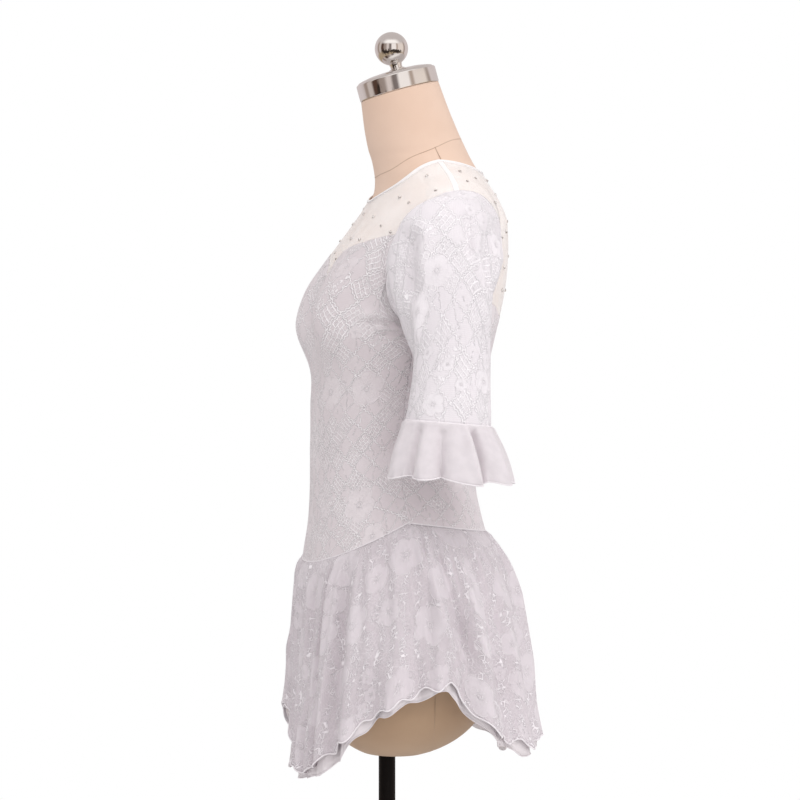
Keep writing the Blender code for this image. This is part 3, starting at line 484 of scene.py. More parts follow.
def skirt(around, height, layer):
    """Points of a skirt layer."""
    around = turned(around)
    drop = np.maximum(hip_seam_height(around) - height, 0.0)
    away = 1 - np.exp(-drop / PUFF_DROP)
    standing = (by_side(SKIRT_PUFF, around) - layer["spread"]) * away
    standing = standing + (by_side(SKIRT_FLARE, around) - layer["flare"]) * drop
    fold = cosine_waves(SKIRT_FOLDS, around, 1) * layer["folds"]
    standing = standing + (fold * FOLD_FULLER - FOLD_MIDDLE) * (drop / FOLD_FULL_DROP) ** FOLD_GROWTH
    standing = np.maximum(standing, 0.0) + away * FOLD_STAND
    pleats = creases(SKIRT_CREASES, around, height, SKIRT_ROUND) * PLEAT_DEEPER
    standing = standing + pleats * away + gathers(around, drop)
    standing = np.maximum(standing, CREASE_STAND * away)
    level = np.maximum(height, FULLEST_HIP)
    outward = body_normals(around, level)
    outward[..., 2] = 0.0
    off = layer["seam_off"] + (layer["off"] - layer["seam_off"]) * smooth_step(0.0, 5.0, drop)
    points = body(around, level) + unit(outward) * (off + standing)[..., None]
    points[..., 2] = height
    return points


def hem_ripple(around, layer):
    """The rolled hem's small waves: how far they stand out and how far they rise."""
    a = np.radians(around)
    turn = layer["ripples"] * a + 2.2 * np.sin(9 * a) + 1.6 * np.sin(14 * a + 1.0)
    uneven = 0.65 + 0.35 * np.sin(11 * a + 2.0)
    uneven = uneven * (1 - 0.7 * np.exp(-(((turned(around) + 12.0) / 42.0) ** 2)))
    scallops = HEM_SCALLOP * np.sin(layer["ripples"] * 0.45 * a + 1.9 * np.sin(5 * a + 0.7))
    return HEM_RIPPLE * uneven * np.sin(turn), HEM_RISE * uneven * np.sin(turn * 0.5 + 1.0) + scallops


def hem_height(around, layer):
    rows = smooth_rows(HEM_LINES, turned(around))
    hang = rows[..., 2] * layer["below"] + cosine_waves(SKIRT_FOLDS, turned(around), 2)
    return rows[..., 1] - hang + hem_ripple(around, layer)[1]


def armhole_ring(angle, distance):
    """Points just outside the left armhole's edge. The angle is 0 at the back and 90 at the top."""
    above = np.sin(np.radians(angle)) > 0
    up_power = np.where(above, ARMHOLE_POWER["upper"], ARMHOLE_POWER["lower"])
    back, up = squared_circle(angle, up_power)
    middle = (ARMHOLE_FRONT + ARMHOLE_BACK) / 2
    around = middle + (ARMHOLE_BACK - middle + HEAD_PAST_ACROSS) * back
    reach = np.where(up > 0, ARMHOLE_TOP - ARMHOLE_MIDDLE, ARMHOLE_MIDDLE - ARMHOLE_BOTTOM) + HEAD_PAST_UP
    return off_body(around, ARMHOLE_MIDDLE + reach * up, distance)


def sleeve_ring(row, angle):
    """Points of a level of the left sleeve, from its sizes."""
    outer_x, outer_z, inner_x, inner_z, front, back_y = np.moveaxis(row, -1, 0)
    back, out = squared_circle(angle, SLEEVE_SQUARENESS)
    half = (back_y - front) / 2
    x = (outer_x + inner_x) / 2 + (outer_x - inner_x) / 2 * out
    y = (front + back_y) / 2 + half * back
    z = (outer_z + inner_z) / 2 + (outer_z - inner_z) / 2 * out
    return np.stack((x, y, z), -1)


def sleeve(angle, level):
    """Points of the left sleeve. level is 0 at the armhole and SLEEVE_END at the cuff's seam."""
    angle, level = np.broadcast_arrays(np.asarray(angle, float), np.asarray(level, float))
    table = np.column_stack((np.arange(1, SLEEVE_END + 1), SLEEVE_SECTIONS))
    lower = sleeve_ring(smooth_rows(table, np.maximum(level, 1.0))[..., 1:], angle)
    late = smooth_step(SLEEVE_END - 1, SLEEVE_END, level)
    lower[..., 2] -= CUFF_SEAM_FALL * (lower[..., 1] - CUFF_SEAM_Y) * late
    head = armhole_ring(angle, SLEEVE_HEAD_OFF)
    share = np.clip(level, 0.0, 1.0)[..., None]
    return head * (1 - share) + lower * share


def sleeve_cloth(angle, level):
    """The sleeve with its creases."""
    points = sleeve(angle, level)
    turn = sleeve(angle + 1.0, level) - sleeve(angle - 1.0, level)
    fall = sleeve(angle, np.minimum(level + 0.05, SLEEVE_END))
    fall = fall - sleeve(angle, np.maximum(level - 0.05, 0.0))
    normals = unit(np.cross(turn, fall))
    depth = creases(SLEEVE_CREASES, angle, points[..., 2], SLEEVE_ROUND) * smooth_step(0.0, 0.8, level)
    return points + normals * depth[..., None]


def ruffle(angle, t):
    """Points of the left cuff's flounce. t is 0 at its seam and 1 at its hem."""
    angle, t = np.broadcast_arrays(np.asarray(angle, float), np.asarray(t, float))
    lean, sag = np.zeros(angle.shape), np.zeros(angle.shape)
    for middle, half_width, side, fall in CUFF_LEANS:
        near = np.exp(-0.5 * (turned(angle - middle) / half_width) ** 2) * t
        lean, sag = lean + side * near, sag + fall * near
    points = sleeve(angle + np.degrees(lean / LEAN_ROUND), SLEEVE_END)
    back, out = np.cos(np.radians(angle)), np.sin(np.radians(angle))
    wave = cosine_waves(RUFFLE_WAVES, turned(angle, 0.0), 1)
    end = np.where(back > 0, RUFFLE_SPREAD["back"], RUFFLE_SPREAD["front"])
    spread = end * back * back + RUFFLE_SPREAD["side"] * out * out
    opening = 1 - (1 - t) ** RUFFLE_OPENING
    reach = spread * opening + (wave - RUFFLE_WAVE_MIDDLE) * t**RUFFLE_WAVE_GROWTH
    a = np.radians(angle)
    reach = reach + 0.6 * np.sin(21 * a + 1.5 * np.sin(4 * a)) * smooth_step(0.0, 0.1, t) * (1 - t)
    folds = creases(CUFF_CREASES, angle, RUFFLE_LENGTH * t, CUFF_ROUND, RUFFLE_LENGTH)
    reach = reach + folds * smooth_step(0.0, 0.2, t)
    reach = reach + 1.1 * np.sin(34 * a + 2.0 * np.sin(5 * a)) * smooth_step(0.75, 1.0, t)
    reach = reach + HEADING_STAND * smooth_step(0.0, 0.04, t)
    points[..., 0] += out * reach
    points[..., 1] += back * reach
    points[..., 0] -= back * lean * LEAN_SHIFT
    points[..., 1] += out * lean * LEAN_SHIFT
    points[..., 2] -= RUFFLE_SEAM_DROP + (RUFFLE_LENGTH + RUFFLE_EDGE_DIP * wave) * t + sag
    points[..., 2] += HEADING_RISE * smooth_step(0.0, 0.02, t) * smooth_step(0.12, 0.03, t)
    return points


def new_object(name, data):
    made = bpy.data.objects.new(name, data)
    bpy.context.scene.collection.objects.link(made)
    return made


def new_piece(name, points, faces, finish):
    """A smooth object from points in millimetres."""
    mesh = bpy.data.meshes.new(name)
    mesh.from_pydata((np.asarray(points) * MM).tolist(), [], faces)
    mesh.shade_smooth()
    mesh.materials.append(FINISHES[finish])
    return new_object(name, mesh)


def full_turn(count, start=0):
    """Even angles round a full turn, without the last one."""
    return np.linspace(start, start + 360, count + 1)[:-1]


def grid_normals(grid, closed):
    """Unit normals of a grid of rows: across the columns' turn and the rows' rise."""
    if closed:
        turn = np.roll(grid, -1, axis=1) - np.roll(grid, 1, axis=1)
    else:
        turn = np.gradient(grid, axis=1)
    return unit(np.cross(turn, np.gradient(grid, axis=0)))


def arc_lengths(grid, closed):
    """Lengths along every row, with one more column where the grid is closed, and down every column."""
    whole = np.concatenate((grid, grid[:, :1]), axis=1) if closed else grid
    across = np.linalg.norm(np.diff(whole, axis=1), axis=2)
    down = np.linalg.norm(np.diff(grid, axis=0), axis=2)
    across = np.concatenate((np.zeros((len(grid), 1)), np.cumsum(across, axis=1)), axis=1)
    down = np.concatenate((np.zeros((1, grid.shape[1])), np.cumsum(down, axis=0)), axis=0)
    return across, down


def place_motifs(grid, closed, sizes, seed, apart=0.96, tries=6000):
    """Flower places on a cloth grid: (row, column, radius, turn), no two closer than their radii."""
    rng = np.random.default_rng(seed)
    rows, columns = grid.shape[:2]
    kept = []
    for radius, count in sizes:
        found = 0
        for _ in range(tries):
            if found == count:
                break
            row, column = rng.uniform(0, rows - 1), rng.uniform(0, columns if closed else columns - 1)
            place = grid[int(row), int(column) % columns]
            if any(np.linalg.norm(place - p) < (radius + r) * apart for p, r, *_ in kept):
                continue
            kept.append((place, radius, row, column, rng.uniform(0, 2 * math.pi)))
            found += 1
    return [(row, column, radius, turn) for _, radius, row, column, turn in kept]


def motif_frames(grid, closed, motifs):
    """For each face, the nearest flower's own coordinates at its four corners, in flower radii."""
    across, down = arc_lengths(grid, closed)
    rows, columns = grid.shape[0] - 1, across.shape[1] - 1
    best = np.full((rows, columns), FLOWER_REACH)
    corners = np.full((rows, columns, 4, 2), NO_FLOWER)
    for row, column, radius, turn in motifs:
        j, i = int(round(row)), int(column) % columns
        length = across[j, -1]
        x = across[j, :-1] - across[j, i]
        if closed:
            x = np.mod(x + length / 2, length) - length / 2
        left, right = x / radius, (x + np.diff(across[j])) / radius
        y = (down[:, i % grid.shape[1]] - down[j, i % grid.shape[1]]) / radius
        low, high = y[:-1], y[1:]
        middle = np.hypot(((left + right) / 2)[None, :], ((low + high) / 2)[:, None])
        mine = middle < best
        best = np.where(mine, middle, best)
        c, s = math.cos(turn), math.sin(turn)
        for k, (u, v) in enumerate(((left, low), (right, low), (right, high), (left, high))):
            flat = np.stack(np.broadcast_arrays(u[None, :], v[:, None]), -1)
            x, y = flat[..., 0] * c - flat[..., 1] * s, flat[..., 0] * s + flat[..., 1] * c
            corners[:, :, k] = np.where(mine[..., None], np.stack((x, y), -1), corners[:, :, k])
    return corners


def cloth_shell(name, grid, wall, closed, finish, motifs=()):
    """A thin closed shell from its outer face's grid and its wall, or its inner face's grid."""
    rows, columns = grid.shape[:2]
    normals = grid_normals(grid, closed)
    outward = np.sign((normals * (grid - grid.mean(axis=(0, 1)))).sum()) or 1.0
    inner = wall if isinstance(wall, np.ndarray) else grid - normals * outward * wall
    across, down = arc_lengths(grid, closed)
    cloth_x = np.broadcast_to(across[rows // 2], (rows, across.shape[1])) * MM
    cloth_y = np.broadcast_to(down.mean(axis=1)[:, None], (rows, across.shape[1])) * MM
    spans = columns if closed else columns - 1
    j, i = np.meshgrid(np.arange(rows - 1), np.arange(spans), indexing="ij")
    flowers = motif_frames(grid, closed, motifs)
    faces, cloth_uv, flower_uv = [], [], []

    def add(rows_of, columns_of, layers, flower):
        corners = list(zip(rows_of, columns_of, layers))
        ids = [layer * rows * columns + r * columns + c % columns for r, c, layer in corners]
        uv = [np.stack((cloth_x[r, c], cloth_y[r, c]), -1) for r, c, _ in corners]
        faces.append(np.stack(ids, -1).reshape(-1, 4))
        cloth_uv.append(np.stack(uv, -2).reshape(-1, 4, 2))
        flower_uv.append(flower.reshape(-1, 4, 2))

    add([j, j, j + 1, j + 1], [i, i + 1, i + 1, i], (0, 0, 0, 0), flowers)
    add([j, j + 1, j + 1, j], [i, i, i + 1, i + 1], (1, 1, 1, 1), flowers[:, :, (0, 3, 2, 1)])
    bare = np.full((spans, 4, 2), NO_FLOWER)
    first, edge = np.zeros(spans, int), np.arange(spans)
    last = first + rows - 1
    add([first] * 4, [edge, edge, edge + 1, edge + 1], (0, 1, 1, 0), bare)
    add([last] * 4, [edge, edge + 1, edge + 1, edge], (0, 0, 1, 1), bare)
    if not closed:
        bare = np.full((rows - 1, 4, 2), NO_FLOWER)
        level, side = np.arange(rows - 1), np.zeros(rows - 1, int)
        add([level, level + 1, level + 1, level], [side] * 4, (0, 0, 1, 1), bare)
        side = side + columns - 1
        add([level, level, level + 1, level + 1], [side] * 4, (0, 1, 1, 0), bare)
    faces = np.concatenate(faces)
    cloth_uv, flower_uv = np.concatenate(cloth_uv), np.concatenate(flower_uv)
    if outward < 0:
        faces, cloth_uv, flower_uv = faces[:, ::-1], cloth_uv[:, ::-1], flower_uv[:, ::-1]
    piece = new_piece(name, np.concatenate((grid, inner)).reshape(-1, 3), faces.tolist(), finish)
    for label, values in (("cloth", cloth_uv), ("flower", flower_uv)):
        layer = piece.data.uv_layers.new(name=label)
        layer.data.foreach_set("uv", np.ascontiguousarray(values, float).ravel())
    return piece


class Weaver:
    """Adds nodes to a material or a world and links them."""

    def __init__(self, owner):
        owner.use_nodes = True
        self.owner = owner
        self.tree = owner.node_tree
        self.shader = self.tree.nodes.get("Principled BSDF")

    def put(self, value, socket):
        if isinstance(value, bpy.types.NodeSocket):
            self.tree.links.new(value, socket)
        elif value is not None:
            socket.default_value = value

    def node(self, kind, *values, **settings):
        """A new node with its settings, and values or links on its first inputs."""
        made = self.tree.nodes.new(kind)
        for key, value in settings.items():
            setattr(made, key, value)
        for value, socket in zip(values, made.inputs):
            self.put(value, socket)
        return made

    def math(self, operation, *values):
        return self.node("ShaderNodeMath", *values, operation=operation).outputs[0]

    def vector_math(self, operation, *values, output=0):
        return self.node("ShaderNodeVectorMath", *values, operation=operation).outputs[output]

    def times(self, *values):
        """The product of several values."""
        result = values[0]
        for value in values[1:]:
            result = self.math("MULTIPLY", result, value)
        return result

    def most(self, *values):
        """The largest of several values."""
        result = values[0]
        for value in values[1:]:
            result = self.math("MAXIMUM", result, value)
        return result

    def scaled(self, value, factor, start):
        return self.math("MULTIPLY_ADD", value, factor, start)

    def off_middle(self, value):
        """How far a value is past the middle of its own whole step."""
        return self.math("SUBTRACT", self.math("FRACT", value), 0.5)

    def ramp(self, value, low, high, start=0.0, end=1.0):
        """A value brought smoothly from one range to another."""
        values = (value, low, high, start, end)
        return self.node("ShaderNodeMapRange", *values, interpolation_type="SMOOTHSTEP").outputs[0]

    def line(self, value, half_width):
        """One on a line where the value is nothing, and none past its half width."""
        return self.ramp(self.math("ABSOLUTE", value), half_width * 0.4, half_width, 1.0, 0.0)

    def cord(self, value, half_width):
        """A cord on a line, and the painted shade beside it on both its sides."""
        line = self.line(value, half_width)
        return line, self.math("SUBTRACT", self.line(value, half_width * 2.4), line)

    def mix(self, share, first, second):
        """Two colours mixed. Each is a socket or red, green and blue."""
        made = self.node("ShaderNodeMix", share, data_type="RGBA")
        for colour, socket in ((first, made.inputs[6]), (second, made.inputs[7])):
            linked = isinstance(colour, bpy.types.NodeSocket)
            self.put(colour if linked else (*colour, 1.0), socket)
        return made.outputs[2]

    def noise(self, vector, scale, detail=2.0, output="Fac"):
        return self.node("ShaderNodeTexNoise", vector, None, scale, detail).outputs[output]

    def cells(self, vector, scale, feature="F1", randomness=1.0):
        made = self.node("ShaderNodeTexVoronoi", vector, None, scale, feature=feature)
        self.put(randomness, made.inputs["Randomness"])
        return made.outputs["Distance"]

    def uv(self, name):
        return self.node("ShaderNodeUVMap", uv_map=name).outputs["UV"]

    def place(self):
        return self.node("ShaderNodeTexCoord").outputs["Object"]

    def split(self, vector):
        return tuple(self.node("ShaderNodeSeparateXYZ", vector).outputs)

    def bump(self, height, distance, strength=1.0):
        made = self.node("ShaderNodeBump")
        for label, value in (("Strength", strength), ("Distance", distance), ("Height", height)):
            self.put(value, made.inputs[label])
        self.put(made.outputs["Normal"], self.shader.inputs["Normal"])

    def set(self, **values):
        """Puts values or links on the shader's own sockets, named with spaces as underscores."""
        for name, value in values.items():
            self.put(value, self.shader.inputs[name.replace("_", " ")])
        return self.owner


def weave(name):
    """Starts a new material."""
    return Weaver(bpy.data.materials.new(name))


def lattice(w, cloth, diagonals, chained):
    """Diagonal cords with hatched and looped lozenges, and chains of loops: the cords and their painted
    shade.
    """
    sway = w.vector_math("SUBTRACT", w.noise(cloth, 34.0, 1.0, "Color"), (0.5, 0.5, 0.5))
    sway = w.vector_math("SCALE", sway, None, None, LATTICE_SWAY * MM)
    bent = w.vector_math("ADD", cloth, sway)
    u, v, _ = w.split(bent)
    runs = [w.times(w.math(way, u, v), 1 / (LATTICE * MM)) for way in ("ADD", "SUBTRACT")]
    waves = [w.math("SINE", w.times(run, 2 * math.pi * ZIGZAGS)) for run in runs]
    gaps = []
    for wave, run in zip(reversed(waves), runs):
        off_middle = w.math("ABSOLUTE", w.off_middle(w.scaled(wave, ZIGZAG_DEPTH, run)))
        gaps.append(w.times(w.math("SUBTRACT", 0.5, off_middle), LATTICE * MM * math.sqrt(0.5)))
    gap = w.math("MINIMUM", *gaps)
    diagonal, diagonal_shade = w.cord(gap, CORD_HALF * MM)

    def hatched(first, second):
        """Rows of short bars, laid like bricks."""
        fine = w.times(first, HATCHES)
        shift = w.scaled(w.math("FLOOR", w.math("ADD", fine, 0.5)), 0.5, 0.25)
        bars = w.scaled(second, HATCHES, shift)
        return w.most(w.line(w.off_middle(fine), 0.2), w.line(w.off_middle(bars), 0.16))

    corner = w.node("ShaderNodeCombineXYZ", *[w.math("FLOOR", run) for run in runs]).outputs[0]
    chance = w.node("ShaderNodeTexWhiteNoise", corner, noise_dimensions="2D").outputs["Value"]
    chosen = []
    for low, high, filling in (
        (-0.1, 0.24, hatched(*runs)),
        (0.24, 0.48, hatched(*reversed(runs))),
        (0.48, 0.56, w.line(w.math("SUBTRACT", w.cells(bent, 210.0), 0.36), 0.14)),
    ):
        here = w.times(w.math("GREATER_THAN", chance, low), w.math("LESS_THAN", chance, high))
        chosen.append(w.times(filling, here))
    filling = w.times(w.most(*chosen), w.ramp(gap, 0.0008, 0.0014), 0.8)
    parts = w.ramp(w.noise(cloth, 21.0, 1.0), 0.36, 0.5, diagonals * 0.7, diagonals)
    column = w.scaled(u, 1 / (CHAIN_APART * MM), w.times(w.noise(cloth, 15.0), 3.2))
    chains = w.line(w.off_middle(column), chained)
    loop, loop_shade = w.cord(w.cells(bent, 165.0, "DISTANCE_TO_EDGE", 0.8), 0.075)
    cords = w.most(w.times(w.most(diagonal, filling), parts), w.times(loop, chains))
    return cords, w.most(w.times(diagonal_shade, parts), w.times(loop_shade, chains))


def lace_finish(name, ground, thread, ground_alpha, relief, diagonals, chained, flowers):
    """Lace: broad five-petalled flowers over a lattice of cords, on a fine net."""
    w = weave(name)
    flower, cloth = w.uv("flower"), w.uv("cloth")
    x, y, _ = w.split(flower)
    radius = w.vector_math("LENGTH", flower, output=1)
    angle = w.math("ARCTAN2", y, x)
    lobes = w.math("ABSOLUTE", w.math("COSINE", w.times(angle, PETALS / 2)))
    outline = w.scaled(w.math("POWER", lobes, PETAL_POWER), PETAL_RISE, PETAL_NOTCH)
    away = w.math("SUBTRACT", outline, radius)
    petals = w.ramp(away, -0.02, 0.03)
    outside = w.scaled(petals, -0.8, 1.0)
    rim, rim_shade = w.cord(away, 0.045)
    uneven = w.ramp(w.noise(cloth, 60.0, 1.0), 0.35, 0.6, 0.0, 0.45)
    ring, ring_shade = w.cord(w.math("SUBTRACT", radius, EYE_RADIUS), 0.04)
    veins = w.line(w.math("SINE", w.times(angle, PETALS)), 0.22)
    veins = w.times(veins, w.ramp(radius, 0.17, 0.2), w.ramp(radius, 0.3, 0.4, 1.0, 0.0), 0.5)

    cords, shade = lattice(w, cloth, diagonals, chained)
    cords = w.most(w.times(cords, outside), w.times(rim, uneven), w.times(ring, 0.7), veins)
    # Painted shade: thin darker lines beside the lattice's cords, the flowers' rims and the eyes' rings, for
    # the shadows that the raised cords cast.
    shade = w.most(w.times(shade, outside), w.times(rim_shade, uneven, 0.15, outside), ring_shade)
    net = w.ramp(w.cells(cloth, 650.0, "DISTANCE_TO_EDGE", 0.3), 0.06, 0.14, 1.0, 0.0)
    dense = w.most(w.times(petals, flowers), w.times(cords, 0.9))
    cloudy = w.ramp(w.noise(cloth, 12.0, 3.0), 0.3, 0.7, -0.1, 0.12)
    colour = w.mix(w.math("ADD", w.most(dense, w.times(net, 0.2)), cloudy), ground, thread)
    height = w.scaled(cords, 0.8, w.times(petals, 0.12))
    height = w.scaled(w.noise(cloth, 1500.0), 0.08, height)
    w.bump(w.scaled(net, 0.05, height), relief)
    see = {}
    if ground_alpha < 1.0:
        holes = w.most(dense, w.times(net, 0.5))
        see["Alpha"] = w.scaled(holes, 1.0 - ground_alpha, ground_alpha)
    return w.set(
        # The painted shade pulls the colour towards the ground darkened to four fifths.
        Base_Color=w.mix(w.times(shade, 0.3), colour, [c * 0.8 for c in ground]),
        Roughness=0.8,
        Sheen_Weight=0.2,
        Sheen_Roughness=0.5,
        Specular_IOR_Level=0.2,
        **see,
    )


def mesh_finish():
    """Fine see-through stretch mesh."""
    w = weave("sheer_stretch_mesh")
    cloth = w.uv("cloth")
    u, v, _ = w.split(cloth)
    runs = [w.times(w.math(way, u, v), 1 / (MESH_STEP * MM)) for way in ("ADD", "SUBTRACT")]
    net = w.most(*[w.line(w.off_middle(run), 0.3) for run in runs])
    clouds = w.ramp(w.noise(cloth, 20.0), 0.3, 0.7)
    w.bump(net, 0.00015, 0.6)
    return w.set(
        Base_Color=w.mix(clouds, (0.95, 0.91, 0.89), (0.98, 0.95, 0.935)),
        Alpha=w.scaled(clouds, 0.06, w.scaled(net, 0.3, 0.42)),
        Roughness=0.6,
        Sheen_Weight=0.2,
        Specular_IOR_Level=0.3,
    )


def chiffon_finish(name, colour, alpha):
    """Plain soft cloth with a fine weave."""
    w = weave(name)
    cloth = w.uv("cloth")
    threads = [w.math("SINE", w.times(d, 2 * math.pi / (WEAVE_STEP * MM))) for d in w.split(cloth)[:2]]
    slub = w.noise(cloth, 90.0, 3.0)
    w.bump(w.math("ADD", w.times(*threads), w.times(slub, 1.5)), 0.00012, 0.5)
    shade = w.ramp(slub, 0.3, 0.7)
    return w.set(
        Base_Color=w.mix(shade, [c * 0.99 for c in colour], colour),
        Alpha=w.scaled(shade, 0.05, alpha),
        Roughness=0.65,
        Sheen_Weight=0.25,
        Specular_IOR_Level=0.3,
    )


def plain_finish(name, scale, detail, dark, light, relief=None, **sockets):
    """One colour with a little grain. relief is the bump's distance and strength."""
    w = weave(name)
    grain = w.noise(w.place(), scale, detail)
    if relief:
        w.bump(grain, *relief)
    return w.set(Base_Color=w.mix(grain, dark, light), **sockets)


def jersey_finish():
    """The form's peach jersey cover, with painted shade on its lower part."""
    w = weave("peach_jersey")
    place = w.place()
    mottle = w.ramp(w.noise(place, 9.0, 4.0), 0.35, 0.65)
    w.bump(w.noise(place, 1400.0, 1.0), 0.0003, 0.35)
    upper_colour = w.mix(mottle, (0.76, 0.55, 0.43), (0.80, 0.595, 0.475))
    painted_low_shade = w.mix(mottle, (0.455, 0.305, 0.195), (0.50, 0.34, 0.22))
    # Painted shade: below 0.8 m the cover turns a much darker brown, and it returns to its own colour by 1.2
    # m, as if less light reached the lower form.
    colour = w.mix(w.ramp(w.split(place)[2], 0.8, 1.2), painted_low_shade, upper_colour)
    return w.set(Base_Color=colour, Roughness=0.75, Sheen_Weight=0.15, Specular_IOR_Level=0.3)


def chrome_finish():
    w = weave("polished_chrome")
    smears = w.noise(w.place(), 60.0, 4.0)
    w.bump(w.noise(w.place(), 25.0, 1.0), 0.0006, 0.15)
    colour = w.mix(smears, (0.78, 0.76, 0.75), (0.86, 0.85, 0.84))
    return w.set(Base_Color=colour, Metallic=1.0, Roughness=w.ramp(smears, 0.3, 0.8, 0.05, 0.12))


def black_paint_finish():
    w = weave("black_paint")
    wear = w.noise(w.place(), 18.0, 5.0)
    w.bump(w.noise(w.place(), 500.0), 0.0002, 0.2)
    colour = w.mix(wear, (0.004, 0.003, 0.003), (0.008, 0.006, 0.006))
    return w.set(Base_Color=colour, Roughness=w.ramp(wear, 0.3, 0.8, 0.42, 0.6), Specular_IOR_Level=0.12)


def stone_finish():
    w = weave("foiled_crystal")
    # Painted glints: the colour jumps at random between dark grey and near white in patches about a facet
    # wide, for facets that catch the light and facets that don't.
    painted_facet_glint = w.ramp(w.noise(w.place(), 700.0, 0.0), 0.4, 0.6)
    colour = w.mix(painted_facet_glint, (0.42, 0.38, 0.36), (0.95, 0.93, 0.91))
    return w.set(Base_Color=colour, Metallic=0.25, Roughness=0.1, Coat_Weight=1.0)


# A lace's name, its ground's and thread's colours, its ground's alpha, the depth of its relief, and how
# much of it is diagonals, chains and flowers.
LACES = {
    "bodice": ("lined_lace", (0.70, 0.63, 0.65), (1.0, 0.96, 0.975), 1.0, 0.0011, 1.0, 0.06, 0.2),
    "sleeve": ("sleeve_lace", (0.86, 0.81, 0.84), (1.0, 0.965, 0.985), 0.88, 0.0009, 0.9, 0.09, 0.25),
    "skirt": ("skirt_lace", (0.77, 0.70, 0.735), (0.97, 0.92, 0.95), 0.66, 0.0008, 0.35, 0.42, 0.3),
}
THREAD = ((0.84, 0.79, 0.815), (0.90, 0.86, 0.88), (0.0003, 0.6))
FINISHES = {key: lace_finish(*lace) for key, lace in LACES.items()} | {
    "mesh": mesh_finish(),
    "cuff": chiffon_finish("cuff_chiffon", (0.775, 0.72, 0.745), 0.92),
    "trim": chiffon_finish("binding_chiffon", (0.98, 0.955, 0.95), 1.0),
    "lining": chiffon_finish("lining_chiffon", (0.86, 0.80, 0.82), 0.90),
    "thread": plain_finish(
        "white_thread", 1500.0, 1.0, *THREAD, Roughness=0.7, Sheen_Weight=0.2, Specular_IOR_Level=0.2
    ),
    "jersey": jersey_finish(),
    "seam": plain_finish(
        "brown_seam_thread", 1200.0, 1.0, (0.38, 0.26, 0.18), (0.55, 0.40, 0.30), Roughness=0.8
    ),
    "chrome": chrome_finish(),
    "paint": black_paint_finish(),
    "stone": stone_finish(),
    "floor": plain_finish("pale_floor", 4.0, 3.0, (0.86, 0.86, 0.86), (0.88, 0.88, 0.88), Roughness=0.9),
}


def grown_group(name, **sizes):
    """A new geometry tree with named inputs, and the sockets that give them."""
    tree = bpy.data.node_groups.new(name, "GeometryNodeTree")
    add = tree.interface.new_socket
    add(name="Geometry", in_out="INPUT", socket_type="NodeSocketGeometry")
    for label, value in sizes.items():
        kind = "NodeSocketInt" if isinstance(value, int) else "NodeSocketFloat"
        add(name=label, in_out="INPUT", socket_type=kind).default_value = value
    add(name="Material", in_out="INPUT", socket_type="NodeSocketMaterial")
    add(name="Geometry", in_out="OUTPUT", socket_type="NodeSocketGeometry")
    return tree, tree.nodes.new("NodeGroupInput").outputs


def add_node(tree, kind, inputs=None, output=0, **settings):
    """Adds a node with sockets or values on its inputs, and gives one of its outputs."""
    made = tree.nodes.new(kind)
    for key, value in settings.items():
        setattr(made, key, value)
    for label, value in (inputs or {}).items():
        if isinstance(value, bpy.types.NodeSocket):
            tree.links.new(value, made.inputs[label])
        else:
            made.inputs[label].default_value = value
    return made.outputs[output] if made.outputs else None


def finish_group(tree, given, geometry):
    real = add_node(tree, "GeometryNodeRealizeInstances", {"Geometry": geometry})
    painted = {"Geometry": real, "Material": given["Material"]}
    add_node(tree, "NodeGroupOutput", {"Geometry": add_node(tree, "GeometryNodeSetMaterial", painted)})
    return tree


def lay_on_points(tree, points, shape, facing, **more):
    """Lays a shape on every point, turned to a direction."""
    turn = add_node(tree, "FunctionNodeAlignEulerToVector", {"Vector": facing}, axis="Z")
    laid = {"Points": points, "Instance": shape, "Rotation": turn, **more}
    return add_node(tree, "GeometryNodeInstanceOnPoints", laid)


def cord_group():
    """A round cord along the edges that it is given."""
    tree, given = grown_group("cord_along_edge", Radius=0.001, Sides=6)
    curve = add_node(tree, "GeometryNodeMeshToCurve", {"Mesh": given["Geometry"]})
    circle = {"Resolution": given["Sides"], "Radius": given["Radius"]}
    profile = add_node(tree, "GeometryNodeCurvePrimitiveCircle", circle)
    tube = {"Curve": curve, "Profile Curve": profile, "Fill Caps": True}
    return finish_group(tree, given, add_node(tree, "GeometryNodeCurveToMesh", tube))


def stitch_group():
    """Short stitches laid end to end along the edges that it is given."""
    tree, given = grown_group("stitches_along_edge", Spacing=0.003, Length=0.0018, Radius=0.0003)
    curve = add_node(tree, "GeometryNodeMeshToCurve", {"Mesh": given["Geometry"]})
    steps = {"Curve": curve, "Length": given["Spacing"]}
    points = add_node(tree, "GeometryNodeResampleCurve", steps, mode="LENGTH")
    rod = {"Vertices": 5, "Radius": given["Radius"], "Depth": given["Length"]}
    stitch = add_node(tree, "GeometryNodeMeshCylinder", rod)
    laid = lay_on_points(tree, points, stitch, add_node(tree, "GeometryNodeInputTangent"))
    return finish_group(tree, given, laid)


def stone_group():
    """A faceted stone on every point, turned to the point's own direction."""
    tree, given = grown_group("stones_on_points", Radius=0.0023, Height=0.0016, Seed=4)
    top = add_node(tree, "ShaderNodeMath", {0: given["Radius"], 1: 0.55}, operation="MULTIPLY")
    cone = {"Vertices": 8, "Radius Top": top, "Radius Bottom": given["Radius"], "Depth": given["Height"]}
    stone = add_node(tree, "GeometryNodeMeshCone", cone)
    named = {"Name": "facing"}
    facing = add_node(tree, "GeometryNodeInputNamedAttribute", named, data_type="FLOAT_VECTOR")
    share = {2: 0.85, 3: 1.15, "Seed": given["Seed"]}
    size = add_node(tree, "FunctionNodeRandomValue", share, output=1, data_type="FLOAT")
    return finish_group(tree, given, lay_on_points(tree, given["Geometry"], stone, facing, Scale=size))


